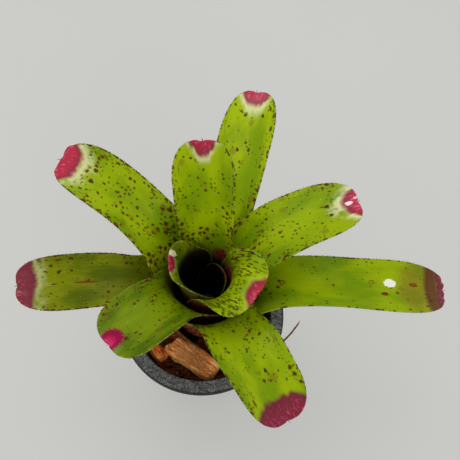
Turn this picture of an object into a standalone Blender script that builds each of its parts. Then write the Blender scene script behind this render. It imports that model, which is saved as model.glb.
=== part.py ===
"""Potted bromeliad: a spotted strap-leaf rosette in a black nursery pot of coconut husk chunks.

Frame: +Z up, the origin at the centre of the pot's underside, -Y is the front.
Every size below is in millimetres; meshes are written in metres.

The leaves nest: level 0 is the innermost leaf of the central tube, and each level further
out has a wider sheath and a lower foot on the stem, so that the sheaths lie round one
another like funnels with a gap between them.
"""

import math
from dataclasses import dataclass

import bmesh
import bpy
import numpy as np
from mathutils import Euler, Vector

MM = 0.001
TOUCH_GAP = 0.3            # between pieces that rest on or against one another
MERGE = 0.00001            # metres, for modifiers that merge

# --- Pot -----------------------------------------------------------------------------
POT_HEIGHT = 90.0
RIM_RADIUS = 55.0          # outer edge of the turned-over rim
RIM_WIDTH = 9.0            # flat top of the rim, from its outer edge to the opening
RIM_SKIRT = 5.0            # how far the rim hangs down outside
RIM_EDGE = 0.9             # rounding of the rim's top edges
POT_WALL = 1.4
BASE_RADIUS = 33.5
BASE_THICKNESS = 2.0
BASE_EDGE = 1.5            # bevel round the underside
POT_STEPS = 40
DRAIN_COUNT = 6
DRAIN_RADIUS = 3.5
DRAIN_CIRCLE = 22.0        # radius of the circle that the drain holes stand on

# --- Growing medium -------------------------------------------------------------------
BED_DEPTH = 18.0           # from the rim's top down to the top of the packed husk
BED_TOP = POT_HEIGHT - BED_DEPTH
STEM_DEPTH = 16.0          # how much of the stem is buried in the packed husk

# --- Stem and leaves ------------------------------------------------------------------
PLANT_OFFSET = 3.0         # the plant stands this far to the right of the pot's axis
STEM_RADIUS = 8.0
STEM_CAP = 2.5             # rounded growing point above the innermost foot
LEAF_THICKNESS = 1.2
SHEATH_GAP = 0.9           # between one sheath and the next
SHEATH_STEP = LEAF_THICKNESS + SHEATH_GAP
FOOT_TURN = 0.6            # share of the thickness by which a sloping foot reaches inwards
FOOT_RADIUS = STEM_RADIUS + TOUCH_GAP + FOOT_TURN * LEAF_THICKNESS
HEART_GAP = 3.1            # from the stem's side to the sheath of a leaf at level 0
HEART_RADIUS = STEM_RADIUS + HEART_GAP
FOOT_GAP = 2.8             # between one leaf's foot and the next along the stem
FOOT_STEP = LEAF_THICKNESS + FOOT_GAP
OUTER_LEVEL = 9            # level of the outermost leaves
FOOT_LIFT = 1.2            # from the packed husk up to the outermost foot
# height of the innermost foot above the pot's rim
HEART_FOOT = FOOT_LIFT + 0.5 * LEAF_THICKNESS + OUTER_LEVEL * FOOT_STEP - BED_DEPTH
LEAF_ROWS = 20
FLAT_COLUMNS = 9
ROLLED_COLUMNS = 13
ROLLED_WRAP = 90.0         # a sheath that wraps further than this gets more columns


@dataclass(frozen=True)
class Leaf:
    """One strap leaf; lengths in mm, heights above the pot's rim, angles in degrees."""

    name: str
    level: int             # 0 is innermost
    azimuth: float         # direction of the blade, anticlockwise from +X
    throat: float          # height at which the blade leaves the tube
    span: float            # tip's distance out from its own sheath
    rise: float            # tip's height
    pitch: float           # slope of the blade at its tip, above the horizontal
    width: float           # at the blade's widest
    channel: float         # half angle of the blade's trough
    wrap: float            # half angle of the sheath round the axis
    roll: float = 0.0      # twist of the blade's face about its length
    sweep: float = 0.0     # sideways bend at the tip, anticlockwise
    neck: float = 0.86     # width where the blade starts, as a share of the widest
    leave: float = 0.70    # share of the sheath at which its edges begin to open
    open: float = 0.30     # share of the blade at which it is fully open
    tip_channel: float = 22.0    # half angle of the trough at the tip


def sheath_radius(level):
    """Radius of a sheath at its throat."""
    return HEART_RADIUS + level * SHEATH_STEP


def curled_width(level, inset, channel, neck):
    """Width of a blade that stays curled, so that it follows its sheath.

    Where the blade starts, its trough's radius is its sheath's radius less the inset.
    """
    return 2.0 * math.radians(channel) * (sheath_radius(level) - inset) / neck


LEAVES = [
    Leaf("outer_leaf_left", 9, 180.0, 38.0, 87.0, 52.0, -2.0, 35.0, 28.0, 70.0, roll=-20.0),
    Leaf("outer_leaf_right", 9, -8.0, 38.0, 118.0, 44.0, -38.0, 34.0, 40.0, 70.0, sweep=20.0, neck=1.1),
    Leaf("outer_leaf_back", 8, 69.0, 44.0, 87.1, 100.0, 12.0, 35.0, 30.0, 70.0, roll=-8.0, sweep=9.0),
    Leaf("outer_leaf_front", 7, -64.0, 48.0, 75.2, 74.0, -6.0, 45.0, 26.0, 75.0, -24.0, 4.0, 0.66),
    Leaf("middle_leaf_back_left", 6, 136.5, 50.0, 80.3, 101.0, -24.0, 34.0, 30.0, 66.0, -14.0, 15.0, 1.15),
    Leaf("middle_leaf_back_right", 5, 25.0, 54.0, 75.4, 100.0, 10.0, 41.0, 24.0, 58.0, -14.0, -8.0, 0.85),
    Leaf("middle_leaf_front_left", 5, 226.0, 62.0, 50.4, 86.0, 12.0, 42.0, 28.0, 75.0, 10.0, -4.0, 0.8),
    Leaf("upright_leaf", 4, 85.0, 62.0, 25.5, 151.0, 66.0, 37.0, 42.0, 80.0, sweep=3.0),
    Leaf("heart_leaf_right", 3, -38.0, 64.0, 22.6, 102.0, 4.0, curled_width(3, 2.1, 70.0, 0.86), 70.0,
         91.0, 20.0, leave=0.78, open=0.45, tip_channel=26.0),
    Leaf("heart_leaf_left", 2, 187.0, 65.0, 4.7, 94.0, 50.0, curled_width(2, -2.0, 62.0, 1.15), 62.0,
         115.0, -6.0, neck=1.15, leave=0.9, open=0.95, tip_channel=45.0),
    Leaf("heart_leaf_inner", 0, 20.0, 34.0, 1.8, 62.0, 85.0, curled_width(0, 1.2, 62.0, 0.86), 62.0,
         104.0, leave=0.85, open=0.95, tip_channel=55.0),
]

TIP_SHARE = 0.30           # last share of the blade, over which the tip rounds off
TIP_END = 0.985            # the rounding stops here, so that the tip stays a short blunt edge
TIP_TAPER = 2.2            # exponents of the rounded tip: fullness, and bluntness
TIP_BLUNT = 3.0
THROAT_PITCH = 84.0        # slope of every sheath at its throat
SHEATH_PULL = 0.55         # how far a sheath's end handle reaches down, as a share of its height
SHEATH_SPREAD = (0.55, 0.12)   # its first handle: share of its radial step, and of its height
BLADE_PULL = (0.45, 0.35)  # the blade's handles at its throat and at its tip, as shares of its chord
SPINE_POINTS = (60, 140)   # points along the sheath and along the blade
ROW_CROWDING = 1.35        # above 1, rows lie closer together towards the tip
FULL_WIDTH_AT = 0.55       # share of the blade at which it reaches its full width
TROUGH_CHANGE = (0.35, 1.0)    # shares of the blade between which the trough changes to the tip's
FULL_ROLL_AT = 0.8         # share of the blade at which the roll is complete


@dataclass(frozen=True)
class Chunk:
    """One piece of coconut husk lying on the packed bed; mm and degrees."""

    name: str
    bearing: float         # direction of its middle from the plant's axis, in degrees from +X
    gap: float             # distance of its middle from the crown's circle
    size: tuple            # length, width and height
    turn: float            # of its length, anticlockwise from +X
    tilt: float = 0.0      # rise of its far end
    cuts: int = 1


CROWN_RADIUS = 0.5 * (FOOT_RADIUS + sheath_radius(OUTER_LEVEL))     # half way up the outermost sheath
CHUNKS = [
    Chunk("husk_chunk_front", -107.8, 9.9, (35.0, 14.0, 10.5), -35.0, 2.0, 2),
    Chunk("husk_chunk_dark", -162.5, 1.7, (16.0, 6.6, 6.0), -38.0, 0.0, 2),
    Chunk("husk_chunk_left", -144.5, 21.0, (12.0, 7.5, 8.0), -50.0),
    Chunk("husk_chunk_right", 9.3, 17.5, (11.0, 9.0, 9.0), 70.0),
    Chunk("husk_chunk_01", -52.1, 14.7, (20.0, 14.0, 9.0), 30.0),
    Chunk("husk_chunk_02", -18.4, 15.3, (12.0, 9.0, 7.0), 80.0),
    Chunk("husk_chunk_03", 38.2, 16.1, (18.0, 12.0, 9.0), -50.0),
    Chunk("husk_chunk_04", 70.6, 16.5, (17.0, 12.0, 8.0), -15.0),
    Chunk("husk_chunk_05", 104.0, 17.6, (18.0, 12.0, 10.0), 10.0),
    Chunk("husk_chunk_06", 136.0, 19.4, (18.0, 12.0, 8.0), 50.0),
    Chunk("husk_chunk_07", 164.2, 21.0, (16.0, 11.0, 9.0), 80.0),
    Chunk("husk_chunk_08", -169.8, 20.1, (14.0, 11.0, 8.0), 95.0),
    Chunk("husk_chunk_09", -54.6, -0.5, (11.0, 8.0, 6.0), 20.0),
    Chunk("husk_chunk_10", -8.1, 1.7, (13.0, 9.0, 7.0), 85.0),
    Chunk("husk_chunk_11", 39.1, 1.1, (13.0, 9.0, 7.0), -50.0),
    Chunk("husk_chunk_12", 90.0, 1.0, (13.0, 9.0, 7.0), 0.0),
    Chunk("husk_chunk_13", 135.0, 1.0, (12.0, 9.0, 7.0), 45.0),
    Chunk("husk_chunk_14", 168.1, 7.1, (9.0, 7.0, 7.0), 90.0),
]
WALL_GAP = 0.8             # least distance from a chunk to the pot's wall
CHUNK_ROUNDING = 5.0       # exponent of the rounded-box form; larger is squarer
CHUNK_ROUGHNESS = 0.09     # how far the form departs from that, as a share of its size
CHUNK_WAVE = Vector((2.3, 1.9, -1.3))   # direction and pace of its swellings, in radians a half size
CHUNK_PHASE = 2.1          # radians by which one chunk's swellings differ from the next one's

# --- Loose husk fibre -----------------------------------------------------------------
FIBRE_RADIUS = 0.6
# its route over the rim: bearing in degrees, distance out from the rim's edge, height above its top
FIBRE_ROUTE = [
    (-34.2, -7.8, 2.0),
    (-27.3, -2.1, 2.6),
    (-21.1, 2.9, 4.0),
    (-13.7, 6.8, 6.5),
    (-7.5, 10.6, 10.0),
]
FIBRE_ORDER = 3            # degree of the curve drawn through the route
FIBRE_POINTS = 12


def smoothstep(x):
    """Ease from 0 to 1 as x goes from 0 to 1."""
    x = np.clip(x, 0.0, 1.0)
    return x * x * (3.0 - 2.0 * x)


def bezier(points, count):
    """Points along the cubic curve that four control points give."""
    t = np.linspace(0.0, 1.0, count)[:, None]
    a, b, c, d = (np.asarray(p, dtype=float) for p in points)
    return (1 - t) ** 3 * a + 3 * (1 - t) ** 2 * t * b + 3 * (1 - t) * t**2 * c + t**3 * d


def lengths_along(line):
    """Distance from the first point to each point of a line."""
    return np.concatenate([[0.0], np.cumsum(np.linalg.norm(np.diff(line, axis=0), axis=1))])


def unit(vectors):
    """Vectors scaled to length 1."""
    return vectors / np.linalg.norm(vectors, axis=-1, keepdims=True)


def heading(degrees):
    """Unit vector at an angle from the first axis."""
    return np.array([math.cos(math.radians(degrees)), math.sin(math.radians(degrees))])


def leaf_spine(leaf):
    """The midrib as radius and height: a funnel-shaped sheath, then an arching blade."""
    radius = sheath_radius(leaf.level)
    foot = np.array([FOOT_RADIUS, POT_HEIGHT + HEART_FOOT - leaf.level * FOOT_STEP])
    throat = np.array([radius, POT_HEIGHT + leaf.throat])
    tip = np.array([radius + leaf.span, POT_HEIGHT + leaf.rise])
    height = throat[1] - foot[1]
    upward, ending = heading(THROAT_PITCH), heading(leaf.pitch)
    chord = np.linalg.norm(tip - throat)
    spread = np.array(SHEATH_SPREAD) * (radius - FOOT_RADIUS, height)
    leaving, arriving = BLADE_PULL[0] * chord * upward, BLADE_PULL[1] * chord * ending
    sheath = bezier([foot, foot + spread, throat - SHEATH_PULL * height * upward, throat], SPINE_POINTS[0])
    blade = bezier([throat, throat + leaving, tip - arriving, tip], SPINE_POINTS[1])
    return sheath, blade


def leaf_surface(leaf, rows, columns):
    """Middle surface of a leaf as rows along it and columns across it, in mm.

    Every row is an arc about the midrib. In the sheath it is a level arc of the sheath's
    own circle round the axis. Along the blade it is a shallow trough square to the midrib,
    rolled about it. Radius, half angle and directions go over from one to the other round
    the throat, and the width rounds off over the last part of the blade.
    """
    sheath, blade = leaf_spine(leaf)
    sheath_at, blade_at = lengths_along(sheath), lengths_along(blade)
    sheath_length, blade_length = sheath_at[-1], blade_at[-1]
    spine = np.concatenate([sheath, blade[1:]])
    spine_at = np.concatenate([sheath_at, sheath_length + blade_at[1:]])
    steps = np.linspace(0.0, 1.0, rows)
    at = spine_at[-1] * (1.0 - (1.0 - steps) ** ROW_CROWDING)
    radius = np.interp(at, spine_at, spine[:, 0])
    height = np.interp(at, spine_at, spine[:, 1])
    slope = unit(np.stack([np.gradient(radius, at), np.gradient(height, at)], axis=-1))
    along = np.clip((at - sheath_length) / blade_length, 0.0, 1.0)
    opened = smoothstep(
        (at - sheath_length * leaf.leave)
        / (blade_length * leaf.open + sheath_length * (1.0 - leaf.leave))
    )

    full = leaf.width * (leaf.neck + (1.0 - leaf.neck) * smoothstep(along / FULL_WIDTH_AT))
    rounding = TIP_END * np.clip((along - (1.0 - TIP_SHARE)) / TIP_SHARE, 0.0, 1.0)
    narrowing = (1.0 - rounding**TIP_TAPER) ** (1.0 / TIP_BLUNT)
    change = smoothstep((along - TROUGH_CHANGE[0]) / (TROUGH_CHANGE[1] - TROUGH_CHANGE[0]))
    trough = np.radians(leaf.channel + (leaf.tip_channel - leaf.channel) * change)
    half_angle = (1.0 - opened) * math.radians(leaf.wrap) + opened * trough * narrowing
    bend = ((1.0 - opened) * radius + opened * full / (2.0 * trough))[:, None]
    angle = half_angle[:, None] * np.linspace(-1.0, 1.0, columns)[None, :]
    aside, inward = bend * np.sin(angle), bend * (1.0 - np.cos(angle))
    roll = (math.radians(leaf.roll) * smoothstep(along / FULL_ROLL_AT))[:, None]
    aside, inward = (
        aside * np.cos(roll) - inward * np.sin(roll),
        aside * np.sin(roll) + inward * np.cos(roll),
    )

    azimuth = math.radians(leaf.azimuth)
    outward = np.array([math.cos(azimuth), math.sin(azimuth), 0.0])
    leftward = np.array([-math.sin(azimuth), math.cos(azimuth), 0.0])
    upward = np.array([0.0, 0.0, 1.0])
    drift = leaf.sweep * along**2
    forward = unit(
        slope[:, :1] * outward + slope[:, 1:] * upward + np.gradient(drift, at)[:, None] * leftward
    )
    blade_normal = -slope[:, 1:] * outward + slope[:, :1] * upward
    blade_side = unit(np.cross(blade_normal, forward))
    share = opened[:, None]
    normal = unit((1.0 - share) * -outward + share * blade_normal)
    side = unit((1.0 - share) * leftward + share * blade_side)
    midrib = radius[:, None] * outward + height[:, None] * upward + drift[:, None] * leftward
    axis = np.array([PLANT_OFFSET, 0.0, 0.0])
    return axis + midrib[:, None] + aside[..., None] * side[:, None] + inward[..., None] * normal[:, None]


# --- Helpers --------------------------------------------------------------------------
def clear_scene():
    """Remove whatever the scene opened with."""
    for item in list(bpy.data.objects):
        bpy.data.objects.remove(item, do_unlink=True)


def make_material(name, colour, roughness):
    """A plain Principled finish."""
    material = bpy.data.materials.new(name)
    material.use_nodes = True
    shader = material.node_tree.nodes["Principled BSDF"]
    shader.inputs["Base Color"].default_value = (*colour, 1.0)
    shader.inputs["Roughness"].default_value = roughness
    shader.inputs["Metallic"].default_value = 0.0
    material.diffuse_color = (*colour, 1.0)
    return material


def add_object(name, mesh, collection, material=None):
    """Link a mesh as a named object with one material."""
    item = bpy.data.objects.new(name, mesh)
    collection.objects.link(item)
    if material is not None:
        mesh.materials.append(material)
    return item


def turned(name, profile, steps, collection, material):
    """Spin a profile of (radius, height) pairs about the Z axis."""
    mesh = bpy.data.meshes.new(name)
    points = [(radius * MM, 0.0, height * MM) for radius, height in profile]
    mesh.from_pydata(points, [(i, i + 1) for i in range(len(points) - 1)], [])
    item = add_object(name, mesh, collection, material)
    screw = item.modifiers.new("turn", "SCREW")
    screw.steps = steps
    screw.render_steps = steps
    screw.use_merge_vertices = True
    screw.merge_threshold = MERGE
    screw.use_smooth_shade = True
    return item


def pot_inner_radius(height):
    """Radius of the pot's inner wall at a height."""
    top = RIM_RADIUS - RIM_WIDTH
    bottom = BASE_RADIUS - POT_WALL
    share = (height - BASE_THICKNESS) / (POT_HEIGHT - BASE_THICKNESS)
    return bottom + (top - bottom) * share


# --- Pieces ---------------------------------------------------------------------------
def cut_cylinder(item, name, cutters, radius, depth, place):
    """Cut a round hole, centred at a place in mm, through an object along Z."""
    bpy.ops.mesh.primitive_cylinder_add(
        vertices=24, radius=radius * MM, depth=depth * MM, location=Vector(place) * MM
    )
    cutter = bpy.context.object
    cutter.name = f"{name}_cutter"
    for home in list(cutter.users_collection):
        home.objects.unlink(cutter)
    cutters.objects.link(cutter)
    cutter.hide_render = True
    cutter.display_type = "WIRE"
    cut = item.modifiers.new(name, "BOOLEAN")
    cut.operation = "DIFFERENCE"
    cut.object = cutter


def build_pot(collection, cutters, material):
    """Thin tapered pot with a turned-over rim and drain holes in its base."""
    opening = RIM_RADIUS - RIM_WIDTH
    under_rim = POT_HEIGHT - POT_WALL
    inner_edge = POT_HEIGHT - RIM_EDGE
    profile = [
        (0.0, BASE_THICKNESS),
        (pot_inner_radius(BASE_THICKNESS), BASE_THICKNESS),
        (pot_inner_radius(inner_edge), inner_edge),
        (opening + RIM_EDGE, POT_HEIGHT),
        (RIM_RADIUS - RIM_EDGE, POT_HEIGHT),
        (RIM_RADIUS, POT_HEIGHT - RIM_EDGE),
        (RIM_RADIUS, POT_HEIGHT - RIM_SKIRT),
        (RIM_RADIUS - POT_WALL, POT_HEIGHT - RIM_SKIRT),
        (RIM_RADIUS - POT_WALL, under_rim),
        (pot_inner_radius(under_rim) + POT_WALL, under_rim),
        (BASE_RADIUS, BASE_EDGE),
        (BASE_RADIUS - BASE_EDGE, 0.0),
        (0.0, 0.0),
    ]
    pot = turned("nursery_pot", profile, POT_STEPS, collection, material)
    for index in range(DRAIN_COUNT):
        angle = 2.0 * math.pi * index / DRAIN_COUNT
        place = (DRAIN_CIRCLE * math.cos(angle), DRAIN_CIRCLE * math.sin(angle), 0.0)
        cut_cylinder(pot, f"drain_{index + 1}", cutters, DRAIN_RADIUS, 4.0 * BASE_THICKNESS, place)
    return pot


def build_bed(collection, cutters, material):
    """Packed husk that fills the pot, with a socket for the buried stem."""
    low = BASE_THICKNESS + TOUCH_GAP
    high = BED_TOP
    profile = [
        (0.0, high),
        (pot_inner_radius(high) - TOUCH_GAP, high),
        (pot_inner_radius(low) - TOUCH_GAP, low),
        (0.0, low),
    ]
    bed = turned("husk_bed", profile, POT_STEPS, collection, material)
    depth = STEM_DEPTH + TOUCH_GAP
    cut_cylinder(
        bed, "socket", cutters, STEM_RADIUS + TOUCH_GAP, 2.0 * depth, (PLANT_OFFSET, 0.0, high)
    )
    return bed


def build_stem(collection, material):
    """Short thick stem that every leaf's foot sits round."""
    top = POT_HEIGHT + HEART_FOOT + STEM_CAP
    low = BED_TOP - STEM_DEPTH
    profile = [
        (0.0, top),
        (0.55 * STEM_RADIUS, top - 0.35 * STEM_CAP),
        (STEM_RADIUS, top - 2.0 * STEM_CAP),
        (STEM_RADIUS, low + STEM_CAP),
        (0.6 * STEM_RADIUS, low),
        (0.0, low),
    ]
    stem = turned("stem", profile, 24, collection, material)
    stem.location.x = PLANT_OFFSET * MM
    return stem


def build_leaf(leaf, collection, material):
    """A grid bent into the leaf's middle surface, given its thickness on both sides."""
    columns = ROLLED_COLUMNS if leaf.wrap > ROLLED_WRAP else FLAT_COLUMNS
    surface = leaf_surface(leaf, LEAF_ROWS, columns) * MM
    shell = bmesh.new()
    bmesh.ops.create_grid(shell, x_segments=columns - 1, y_segments=LEAF_ROWS - 1, size=1.0)
    for vertex in shell.verts:
        column = round((vertex.co.x + 1.0) / 2.0 * (columns - 1))
        row = round((vertex.co.y + 1.0) / 2.0 * (LEAF_ROWS - 1))
        vertex.co = surface[row, column]
    mesh = bpy.data.meshes.new(leaf.name)
    shell.to_mesh(mesh)
    shell.free()
    mesh.shade_smooth()
    item = add_object(leaf.name, mesh, collection, material)
    solidify = item.modifiers.new("thickness", "SOLIDIFY")
    solidify.thickness = LEAF_THICKNESS * MM
    solidify.offset = 0.0
    return item


def seated(chunk, corners):
    """A chunk's place in metres, moved in towards the axis where the pot's wall is in its way."""
    away = (CROWN_RADIUS + chunk.gap) * heading(chunk.bearing)
    place = Vector((PLANT_OFFSET + away[0], away[1])) * MM
    wall = (pot_inner_radius(BED_TOP) - WALL_GAP) * MM
    reach = max((place + corner.xy).length for corner in corners)
    return place - place.normalized() * max(0.0, reach - wall)


def build_chunk(chunk, number, collection, material):
    """A rounded, uneven block set down on the packed bed."""
    block = bmesh.new()
    bmesh.ops.create_cube(block, size=2.0)
    bmesh.ops.subdivide_edges(block, edges=block.edges[:], cuts=chunk.cuts, use_grid_fill=True)
    half = Vector(chunk.size) * 0.5 * MM
    turn = Euler((0.0, -math.radians(chunk.tilt), math.radians(chunk.turn)))
    for vertex in block.verts:
        x, y, z = vertex.co
        rounded = vertex.co / (abs(x) ** CHUNK_ROUNDING + abs(y) ** CHUNK_ROUNDING
                               + abs(z) ** CHUNK_ROUNDING) ** (1.0 / CHUNK_ROUNDING)
        wave = CHUNK_WAVE.dot(vertex.co) + CHUNK_PHASE * number
        uneven = 1.0 + CHUNK_ROUGHNESS * math.sin(wave)
        vertex.co = rounded * uneven
        vertex.co = Vector(a * b for a, b in zip(vertex.co, half))
        vertex.co.rotate(turn)
    lowest = min(vertex.co.z for vertex in block.verts)
    bed_top = (BED_TOP + TOUCH_GAP) * MM
    place = seated(chunk, [vertex.co for vertex in block.verts])
    mesh = bpy.data.meshes.new(chunk.name)
    block.to_mesh(mesh)
    block.free()
    item = add_object(chunk.name, mesh, collection, material)
    item.location = (place.x, place.y, bed_top - lowest)
    return item


def build_fibre(collection, material):
    """A stiff loose fibre that pokes out over the rim."""
    route = np.array([(*((RIM_RADIUS + out) * heading(bearing)), POT_HEIGHT + up)
                      for bearing, out, up in FIBRE_ROUTE])
    marks = np.linspace(0.0, 1.0, len(route))
    at = np.linspace(0.0, 1.0, FIBRE_POINTS)
    fit = [np.polyfit(marks, route[:, axis], FIBRE_ORDER) for axis in range(3)]
    points = np.stack([np.polyval(terms, at) for terms in fit], axis=-1) * MM
    curve = bpy.data.curves.new("husk_fibre", "CURVE")
    curve.dimensions = "3D"
    curve.bevel_depth = FIBRE_RADIUS * MM
    curve.bevel_resolution = 1
    curve.use_fill_caps = True
    spline = curve.splines.new("POLY")
    spline.points.add(FIBRE_POINTS - 1)
    for point, place in zip(spline.points, points):
        point.co = (*place, 1.0)
    item = bpy.data.objects.new("husk_fibre", curve)
    collection.objects.link(item)
    curve.materials.append(material)
    return item


def main():
    """Build the plant, its husk and its pot."""
    clear_scene()
    scene = bpy.context.scene
    plant = bpy.data.collections.new("potted_bromeliad")
    cutters = bpy.data.collections.new("cutters")
    scene.collection.children.link(plant)
    scene.collection.children.link(cutters)

    black_plastic = make_material("black_plastic", (0.035, 0.036, 0.04), 0.55)
    husk = make_material("husk", (0.36, 0.16, 0.07), 0.9)
    dark_husk = make_material("dark_husk", (0.16, 0.055, 0.03), 0.95)
    stem_tissue = make_material("stem_tissue", (0.16, 0.13, 0.05), 0.8)
    leaf_green = make_material("leaf_green", (0.22, 0.33, 0.012), 0.3)

    build_pot(plant, cutters, black_plastic)
    build_bed(plant, cutters, dark_husk)
    build_stem(plant, stem_tissue)
    for leaf in LEAVES:
        build_leaf(leaf, plant, leaf_green)
    for number, chunk in enumerate(CHUNKS):
        build_chunk(chunk, number, plant, dark_husk if number == 1 else husk)
    build_fibre(plant, dark_husk)


main()
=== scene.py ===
"""Potted bromeliad: a spotted strap-leaf rosette in a black nursery pot of coconut husk.

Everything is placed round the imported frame, in metres, with +Z up and -Y the front. Sizes in
the classes below are in millimetres and are brought to metres by MM as each mesh is made.
"""
import logging
import math
from dataclasses import dataclass, field
from enum import Enum
from typing import Any

import bpy
import numpy as np
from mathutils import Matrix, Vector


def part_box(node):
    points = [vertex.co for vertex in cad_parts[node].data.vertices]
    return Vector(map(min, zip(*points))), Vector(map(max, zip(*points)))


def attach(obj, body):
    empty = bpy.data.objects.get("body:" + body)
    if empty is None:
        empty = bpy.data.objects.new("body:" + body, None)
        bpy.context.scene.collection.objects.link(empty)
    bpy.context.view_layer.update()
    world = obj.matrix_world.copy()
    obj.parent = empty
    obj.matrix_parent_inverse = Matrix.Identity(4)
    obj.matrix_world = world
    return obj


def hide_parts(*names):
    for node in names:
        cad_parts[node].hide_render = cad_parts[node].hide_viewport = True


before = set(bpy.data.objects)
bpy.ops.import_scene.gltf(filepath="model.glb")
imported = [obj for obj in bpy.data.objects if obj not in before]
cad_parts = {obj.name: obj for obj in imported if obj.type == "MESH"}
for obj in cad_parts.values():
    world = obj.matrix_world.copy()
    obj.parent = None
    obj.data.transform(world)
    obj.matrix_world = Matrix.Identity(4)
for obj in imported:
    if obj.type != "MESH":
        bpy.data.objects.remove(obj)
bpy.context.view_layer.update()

LOG = logging.getLogger("bromeliad")
Array = np.ndarray
Socket = bpy.types.NodeSocket
Names = tuple[str, ...]

MM = 0.001
FULL_TURN = 2.0 * math.pi
RIPPLE_PACE = (0.6, 3.0)       # lowest and highest frequency, in radians per unit
RIPPLE_HEIGHT = 0.8
BODY = "root"
COLOUR, NUMBER = "NodeSocketColor", "NodeSocketFloat"


# --- Numbers and curves -----------------------------------------------------------------
def linear(red: int, green: int, blue: int) -> tuple[float, float, float, float]:
    """A display colour, 0 to 255 a channel, as the linear colour that a shader takes."""
    share = np.array([red, green, blue]) / 255.0
    curve = np.where(share <= 0.04045, share / 12.92, ((share + 0.055) / 1.055) ** 2.4)
    return (*[float(c) for c in curve], 1.0)


def ease(x: Array) -> Array:
    """Smooth step from 0 to 1 as x goes from 0 to 1."""
    x = np.clip(x, 0.0, 1.0)
    return x * x * (3.0 - 2.0 * x)


def unit(vectors: Array) -> Array:
    """Vectors scaled to length 1."""
    return vectors / np.maximum(np.linalg.norm(vectors, axis=-1, keepdims=True), 1e-12)


def bezier(points: list, count: int) -> Array:
    """Points along a cubic curve: the Bernstein blend of its four control points."""
    t = np.linspace(0.0, 1.0, count)[:, None]
    a, b, c, d = (np.asarray(p, dtype=float) for p in points)
    return (1 - t) ** 3 * a + 3 * (1 - t) ** 2 * t * b + 3 * (1 - t) * t**2 * c + t**3 * d


def about(radius: Any, turn: Any, height: Any) -> Array:
    """Points at a radius and an angle round the vertical, at a height."""
    x, y = radius * np.cos(turn), radius * np.sin(turn)
    return np.stack([x, y, np.broadcast_to(height, x.shape)], axis=-1)


def round_steps(count: int) -> Array:
    """Evenly spaced angles once round."""
    return np.linspace(0.0, FULL_TURN, count, endpoint=False)


def distance_along(line: Array) -> Array:
    """Distance from the first point to each point of a line."""
    return np.concatenate([[0.0], np.cumsum(np.linalg.norm(np.diff(line, axis=0), axis=1))])


def ripple(u: Array, v: Array, seed: int, waves: int = 9) -> Array:
    """Smooth unevenness over two coordinates, about -1 to 1.

    The formula is a sum of sines whose directions, wavelengths and phases are drawn from a seed.

    Args:
        u: First coordinate of each point.
        v: Second coordinate of each point.
        seed: Number that fixes the pattern.
        waves: How many sines are added.

    Returns:
        One height for each point.
    """
    draw = np.random.default_rng(seed)
    total = np.zeros(np.broadcast(u, v).shape)
    for _ in range(waves):
        heading = draw.uniform(0.0, FULL_TURN)
        pace = draw.uniform(*RIPPLE_PACE)
        phase = draw.uniform(0.0, FULL_TURN)
        total += np.sin(pace * (u * math.cos(heading) + v * math.sin(heading)) + phase)
    return total / math.sqrt(waves) * RIPPLE_HEIGHT


# --- Meshes -----------------------------------------------------------------------------
@dataclass
class Surface:
    """One or more closed surfaces, before they become a mesh."""

    points: Array
    quads: Array
    triangles: Array = field(default_factory=lambda: np.zeros((0, 3), dtype=int))
    values: dict[str, Array] = field(default_factory=dict)

    def volume(self) -> float:
        """Signed volume, which is negative where the faces look inwards."""
        halves = np.concatenate([self.quads[:, [0, 1, 2]], self.quads[:, [0, 2, 3]], self.triangles])
        a, b, c = (self.points[halves[:, k]] for k in range(3))
        return float(np.einsum("ij,ij->i", a, np.cross(b, c)).sum() / 6.0)

    def outward(self) -> "Surface":
        """The same surface with its faces looking out."""
        if self.volume() < 0.0:
            self.quads = self.quads[:, ::-1]
            self.triangles = self.triangles[:, ::-1]
        return self

    def carry(self, **values: Any) -> "Surface":
        """The same surface with a value at each point for each name."""
        for name, value in values.items():
            self.values[name] = np.broadcast_to(value, len(self.points)).astype(float)
        return self


def join(surfaces: list[Surface]) -> Surface:
    """Put surfaces into one, keeping the values that they all carry."""
    starts = np.cumsum([0] + [len(s.points) for s in surfaces[:-1]])
    names = set.intersection(*(set(s.values) for s in surfaces))
    return Surface(
        np.concatenate([s.points for s in surfaces]),
        np.concatenate([s.quads + n for s, n in zip(surfaces, starts)]),
        np.concatenate([s.triangles + n for s, n in zip(surfaces, starts)]),
        {name: np.concatenate([s.values[name] for s in surfaces]) for name in sorted(names)},
    )


class Ends(Enum):
    """How the two ends of a ring grid are closed."""

    STRIPS = "across, where each ring is a flat double line"
    FANS = "on the ring's own middle"


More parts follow.
